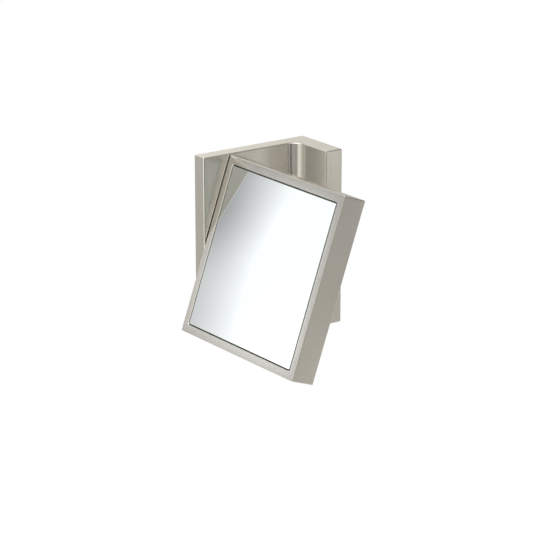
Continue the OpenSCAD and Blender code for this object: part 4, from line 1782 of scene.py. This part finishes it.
@dataclass(frozen=True)
class Card:
    """A lit card that the camera sees mirrored in one flat face of the object.

    The card is a rectangle on that face, given by a corner and two sides, grown by a margin and
    carried away from the eye's mirror image, so a place on the card shows at the like place on the
    face. Outside the rectangle itself, its light is dimmed to a share.
    """

    name: str
    corner: Point
    across: Point
    up: Point
    reach: float
    level: float = 0.0
    margin: float = 0.0
    around: float = 1.0
    shade: Optional[Shade] = None
    patches: tuple[Patch, ...] = ()
    tint: Colour = (1.0, 1.0, 1.0)

    def shaded(self, graph: Graph, place: Socket) -> Socket:
        """The card's level, less around the rectangle and less its shade.

        Args:
            graph: the material's graph.
            place: u and v on the card.

        Returns:
            The brightness.
        """
        u, v, _ = graph.add("SeparateXYZ", {0: place}).outputs
        from_middle = [graph.math("ABSOLUTE", graph.math("SUBTRACT", axis, 0.5)) for axis in (u, v)]
        level = graph.spread(graph.math("MAXIMUM", *from_middle), 0.5, 0.51, self.level,
                             self.level * self.around)
        dark = graph.spread(v, 0.25, 0.80, self.shade.at_bottom, self.shade.at_top, kind=SMOOTH)
        end = graph.spread(v, 0.5, 1.0, self.shade.end_bottom, self.shade.end_top)
        run = graph.math("POWER", graph.math("DIVIDE", graph.math("MAXIMUM", u, 0.0), end), self.shade.bow)
        share = graph.math("SUBTRACT", 1.0, run, clamp=True)
        return graph.times(graph.math("SUBTRACT", 1.0, graph.times(share, dark)), level)

    def build(self, eye: np.ndarray) -> None:
        """Makes the card: its corners are the mirrored eye plus the reach times the way to the face.

        Its light is its level less its shade, plus its patches, read on its own UV map. A patch's
        bell is e to the power of minus the squared distance, in shares of the patch's size.

        Args:
            eye: the camera's place.
        """
        low, high = -self.margin, 1 + self.margin
        turns = np.array([[low, low], [high, low], [high, high], [low, high]])
        corner, across, up = (np.array(side) for side in (self.corner, self.across, self.up))
        normal = np.cross(across, up)
        normal /= np.linalg.norm(normal)
        mirrored = eye - 2 * ((eye - corner) @ normal) * normal
        points = mirrored + self.reach * (corner + turns @ np.array([across, up]) - mirrored)
        material = bpy.data.materials.new(self.name)
        graph = Light(material)
        place = graph.add("UVMap", uv_map="card").outputs["UV"]
        total = self.shaded(graph, place) if self.shade else self.level
        for patch in self.patches:
            away = graph.vector("SUBTRACT", place, (patch.u, patch.v, 0))
            away = graph.vector("MULTIPLY", away, (1 / patch.width, 1 / patch.height, 0))
            square = graph.vector("DOT_PRODUCT", away, away)
            bell = graph.math("EXPONENT", graph.times(square, -1.0))
            total = graph.times(bell, patch.strength, total)
        glow = graph.add("Emission", {"Strength": total, "Color": self.tint + (1.0,)})
        graph.add("OutputMaterial", {"Surface": glow.outputs[0]})
        stand(self.name, points, material, places=turns)
        log.info("%s stands at %s", self.name, points.mean(0).round(3))


@dataclass(frozen=True)
class Strip:
    """A small lit strip between the head and the wall; it faces the wall, and is clear from behind."""

    name: str
    left: float
    right: float
    top: float
    level: float
    foot: float = 0.020
    y: float = -0.072

    def build(self, tint: Colour) -> None:
        """Makes the strip.

        Args:
            tint: colour of its light.
        """
        left, right, foot, top = self.left, self.right, self.foot, self.top
        material = bpy.data.materials.new(self.name)
        graph = Light(material)
        glow = graph.add("Emission", {"Strength": self.level, "Color": tint + (1.0,)})
        graph.add("OutputMaterial", {"Surface": graph.one_sided(glow.outputs[0])})
        sides = ((left, foot), (left, top), (right, top), (right, foot))
        stand(self.name, np.array([(x, self.y, z) for x, z in sides]), material)


@dataclass
class Studio:
    """Camera, pale floor and soft light."""

    place: HeadPlace
    azimuth: float = 54.28
    elevation: float = 17.51
    distance: float = 2.424
    aim: Point = (0.0411, -0.0800, -0.0277)
    lens: float = 163.35
    sensor: float = 36.0
    floor_z: float = -0.35
    floor_r: float = 0.9
    floor_sides: int = 96
    floor_tone: float = 0.8
    ambient: float = 0.05
    tint: Colour = (1.03, 1.0, 0.92)
    white: tuple[float, ...] = (1.0, 1.0, 1.0, 1.0)
    strips: tuple[Strip, ...] = (
        Strip("corner_strip", -0.015, 0.004, 0.085, 0.85),
        Strip("flange_strip", 0.008, 0.042, 0.085, 0.32),
        Strip("arm_strip", 0.089, 0.130, 0.075, 0.58),
    )
    lobes: tuple[Lobe, ...] = (
        Lobe(-108, -18, 0.15), Lobe(-72, -18, 0.42), Lobe(0, -18, 1.40), Lobe(118, -18, 0.42, 26),
        Lobe(-126, 18, 0.50), Lobe(-90, 18, 0.75), Lobe(18, 18, 0.38), Lobe(54, 18, 0.22),
        Lobe(0, 52, 1.40, 45), Lobe(60, 52, 1.40, 45), Lobe(150, 52, 0.40, 40),
    )

    def eye(self) -> np.ndarray:
        """The camera's place."""
        return np.array(self.aim) + direction(self.azimuth, self.elevation) * self.distance

    def cards(self) -> list[Card]:
        """The graded card that the glass shows, and a card beside the bracket.

        Returns:
            The cards.
        """
        head = Head()
        turn = self.place.turn()
        half_w, half_h = (size / 1000 for size in head.glass_half)
        low_left = np.array([[head.middle_x / 1000 - half_w, head.at(head.glass_in) / 1000, -half_h]])
        return [
            Card("glass_card", tuple(self.place.to_row(low_left)[0]), tuple(turn @ (2 * half_w, 0.0, 0.0)),
                 tuple(turn @ (0.0, 0.0, 2 * half_h)), 1.25, 1.08, 0.3, 0.5, Shade(0.66, 0.38, 0.60, 0.43),
                 (Patch(1.0, 0.0, 0.58, 0.30, 0.30),)),
            Card("side_card", (0.166, -0.31, -0.22), (0.0, 0.48, 0.0), (0.0, 0.0, 0.40), 1.25, patches=(
                Patch(0.125, 0.83, 0.61), Patch(0.625, 0.83, 0.37), Patch(0.875, 0.83, 0.71),
                Patch(0.375, 0.50, 0.28), Patch(0.875, 0.50, 0.29),
                Patch(0.375, 0.17, 0.50), Patch(0.875, 0.17, 0.47)), tint=self.tint),
        ]

    def make_camera(self) -> None:
        """Sets the camera on its aim point, without shift or depth of field."""
        data = bpy.data.cameras.new("camera")
        data.lens, data.sensor_width = self.lens, self.sensor
        data.clip_start, data.clip_end = 0.01, 100
        camera = link("camera", data)
        camera.location = Vector(self.eye())
        camera.rotation_mode = "QUATERNION"
        camera.rotation_quaternion = Vector(-direction(self.azimuth, self.elevation)).to_track_quat("-Z", "Y")
        bpy.context.scene.camera = camera

    def make_world(self) -> None:
        """Surroundings: an even grey plus soft lobes, and plain white behind the object.

        A lobe's brightness is its strength times a smooth step of the cosine between the direction
        looked in and the lobe's axis, from the cosine of its half width up to one.
        """
        world = bpy.data.worlds.new("surroundings")
        bpy.context.scene.world = world
        graph = Light(world)
        toward = graph.add("TexCoord").outputs["Generated"]
        total = self.ambient
        for lobe in self.lobes:
            dot = graph.vector("DOT_PRODUCT", toward, tuple(direction(lobe.azimuth, lobe.elevation)))
            edge = math.cos(math.radians(lobe.half_width))
            total = graph.math("ADD", graph.spread(dot, edge, 1.0, 0.0, lobe.strength, kind=SMOOTH), total)
        lit = graph.add("Background", {"Color": graph.vector("SCALE", self.tint, total)}).outputs[0]
        graph.add("OutputWorld", {"Surface": graph.behind_camera("Background", lit, self.white)})

    def make_floor(self) -> None:
        """Round pale floor below the object, plain white to the camera and clear from underneath."""
        turns = np.linspace(0, 2 * math.pi, self.floor_sides, endpoint=False)
        rim = np.column_stack([np.cos(turns), np.sin(turns)]) * self.floor_r
        material = bpy.data.materials.new("floor_white")
        graph = Light(material)
        matt = graph.add("BsdfDiffuse", {"Color": (self.floor_tone,) * 3 + (1.0,)}).outputs[0]
        above = graph.behind_camera("Emission", matt, self.white)
        graph.add("OutputMaterial", {"Surface": graph.one_sided(above)})
        points = np.column_stack([rim, np.full(self.floor_sides, self.floor_z)])
        stand("floor", points, material, hidden=False)

    def build(self) -> None:
        """Makes everything in the studio."""
        bpy.context.scene.view_settings.view_transform = "Standard"
        self.make_camera()
        self.make_world()
        self.make_floor()
        for strip in self.strips:
            strip.build(self.tint)
        for card in self.cards():
            card.build(self.eye())


# ---- the whole object ----

def main() -> None:
    """Builds the studio, the materials and every piece."""
    logging.basicConfig(level=logging.INFO, format="%(message)s")
    place = HeadPlace.from_frame()
    log.info("head leans back %.2f degrees", place.tilt)
    Studio(place).build()
    effects = Effects()
    materials = {finish.name: finish.build(effects) for finish in FINISHES}
    slots = {part["node"]: part["material_slot"] for part in frame["record"]["subparts"]}
    for assembly in (WallFixing(), Bracket(), Pivot(), Head()):
        for piece in assembly.pieces():
            piece.settle(assembly.body, place, materials, slots[piece.node])


if __name__ == "__main__":
    main()
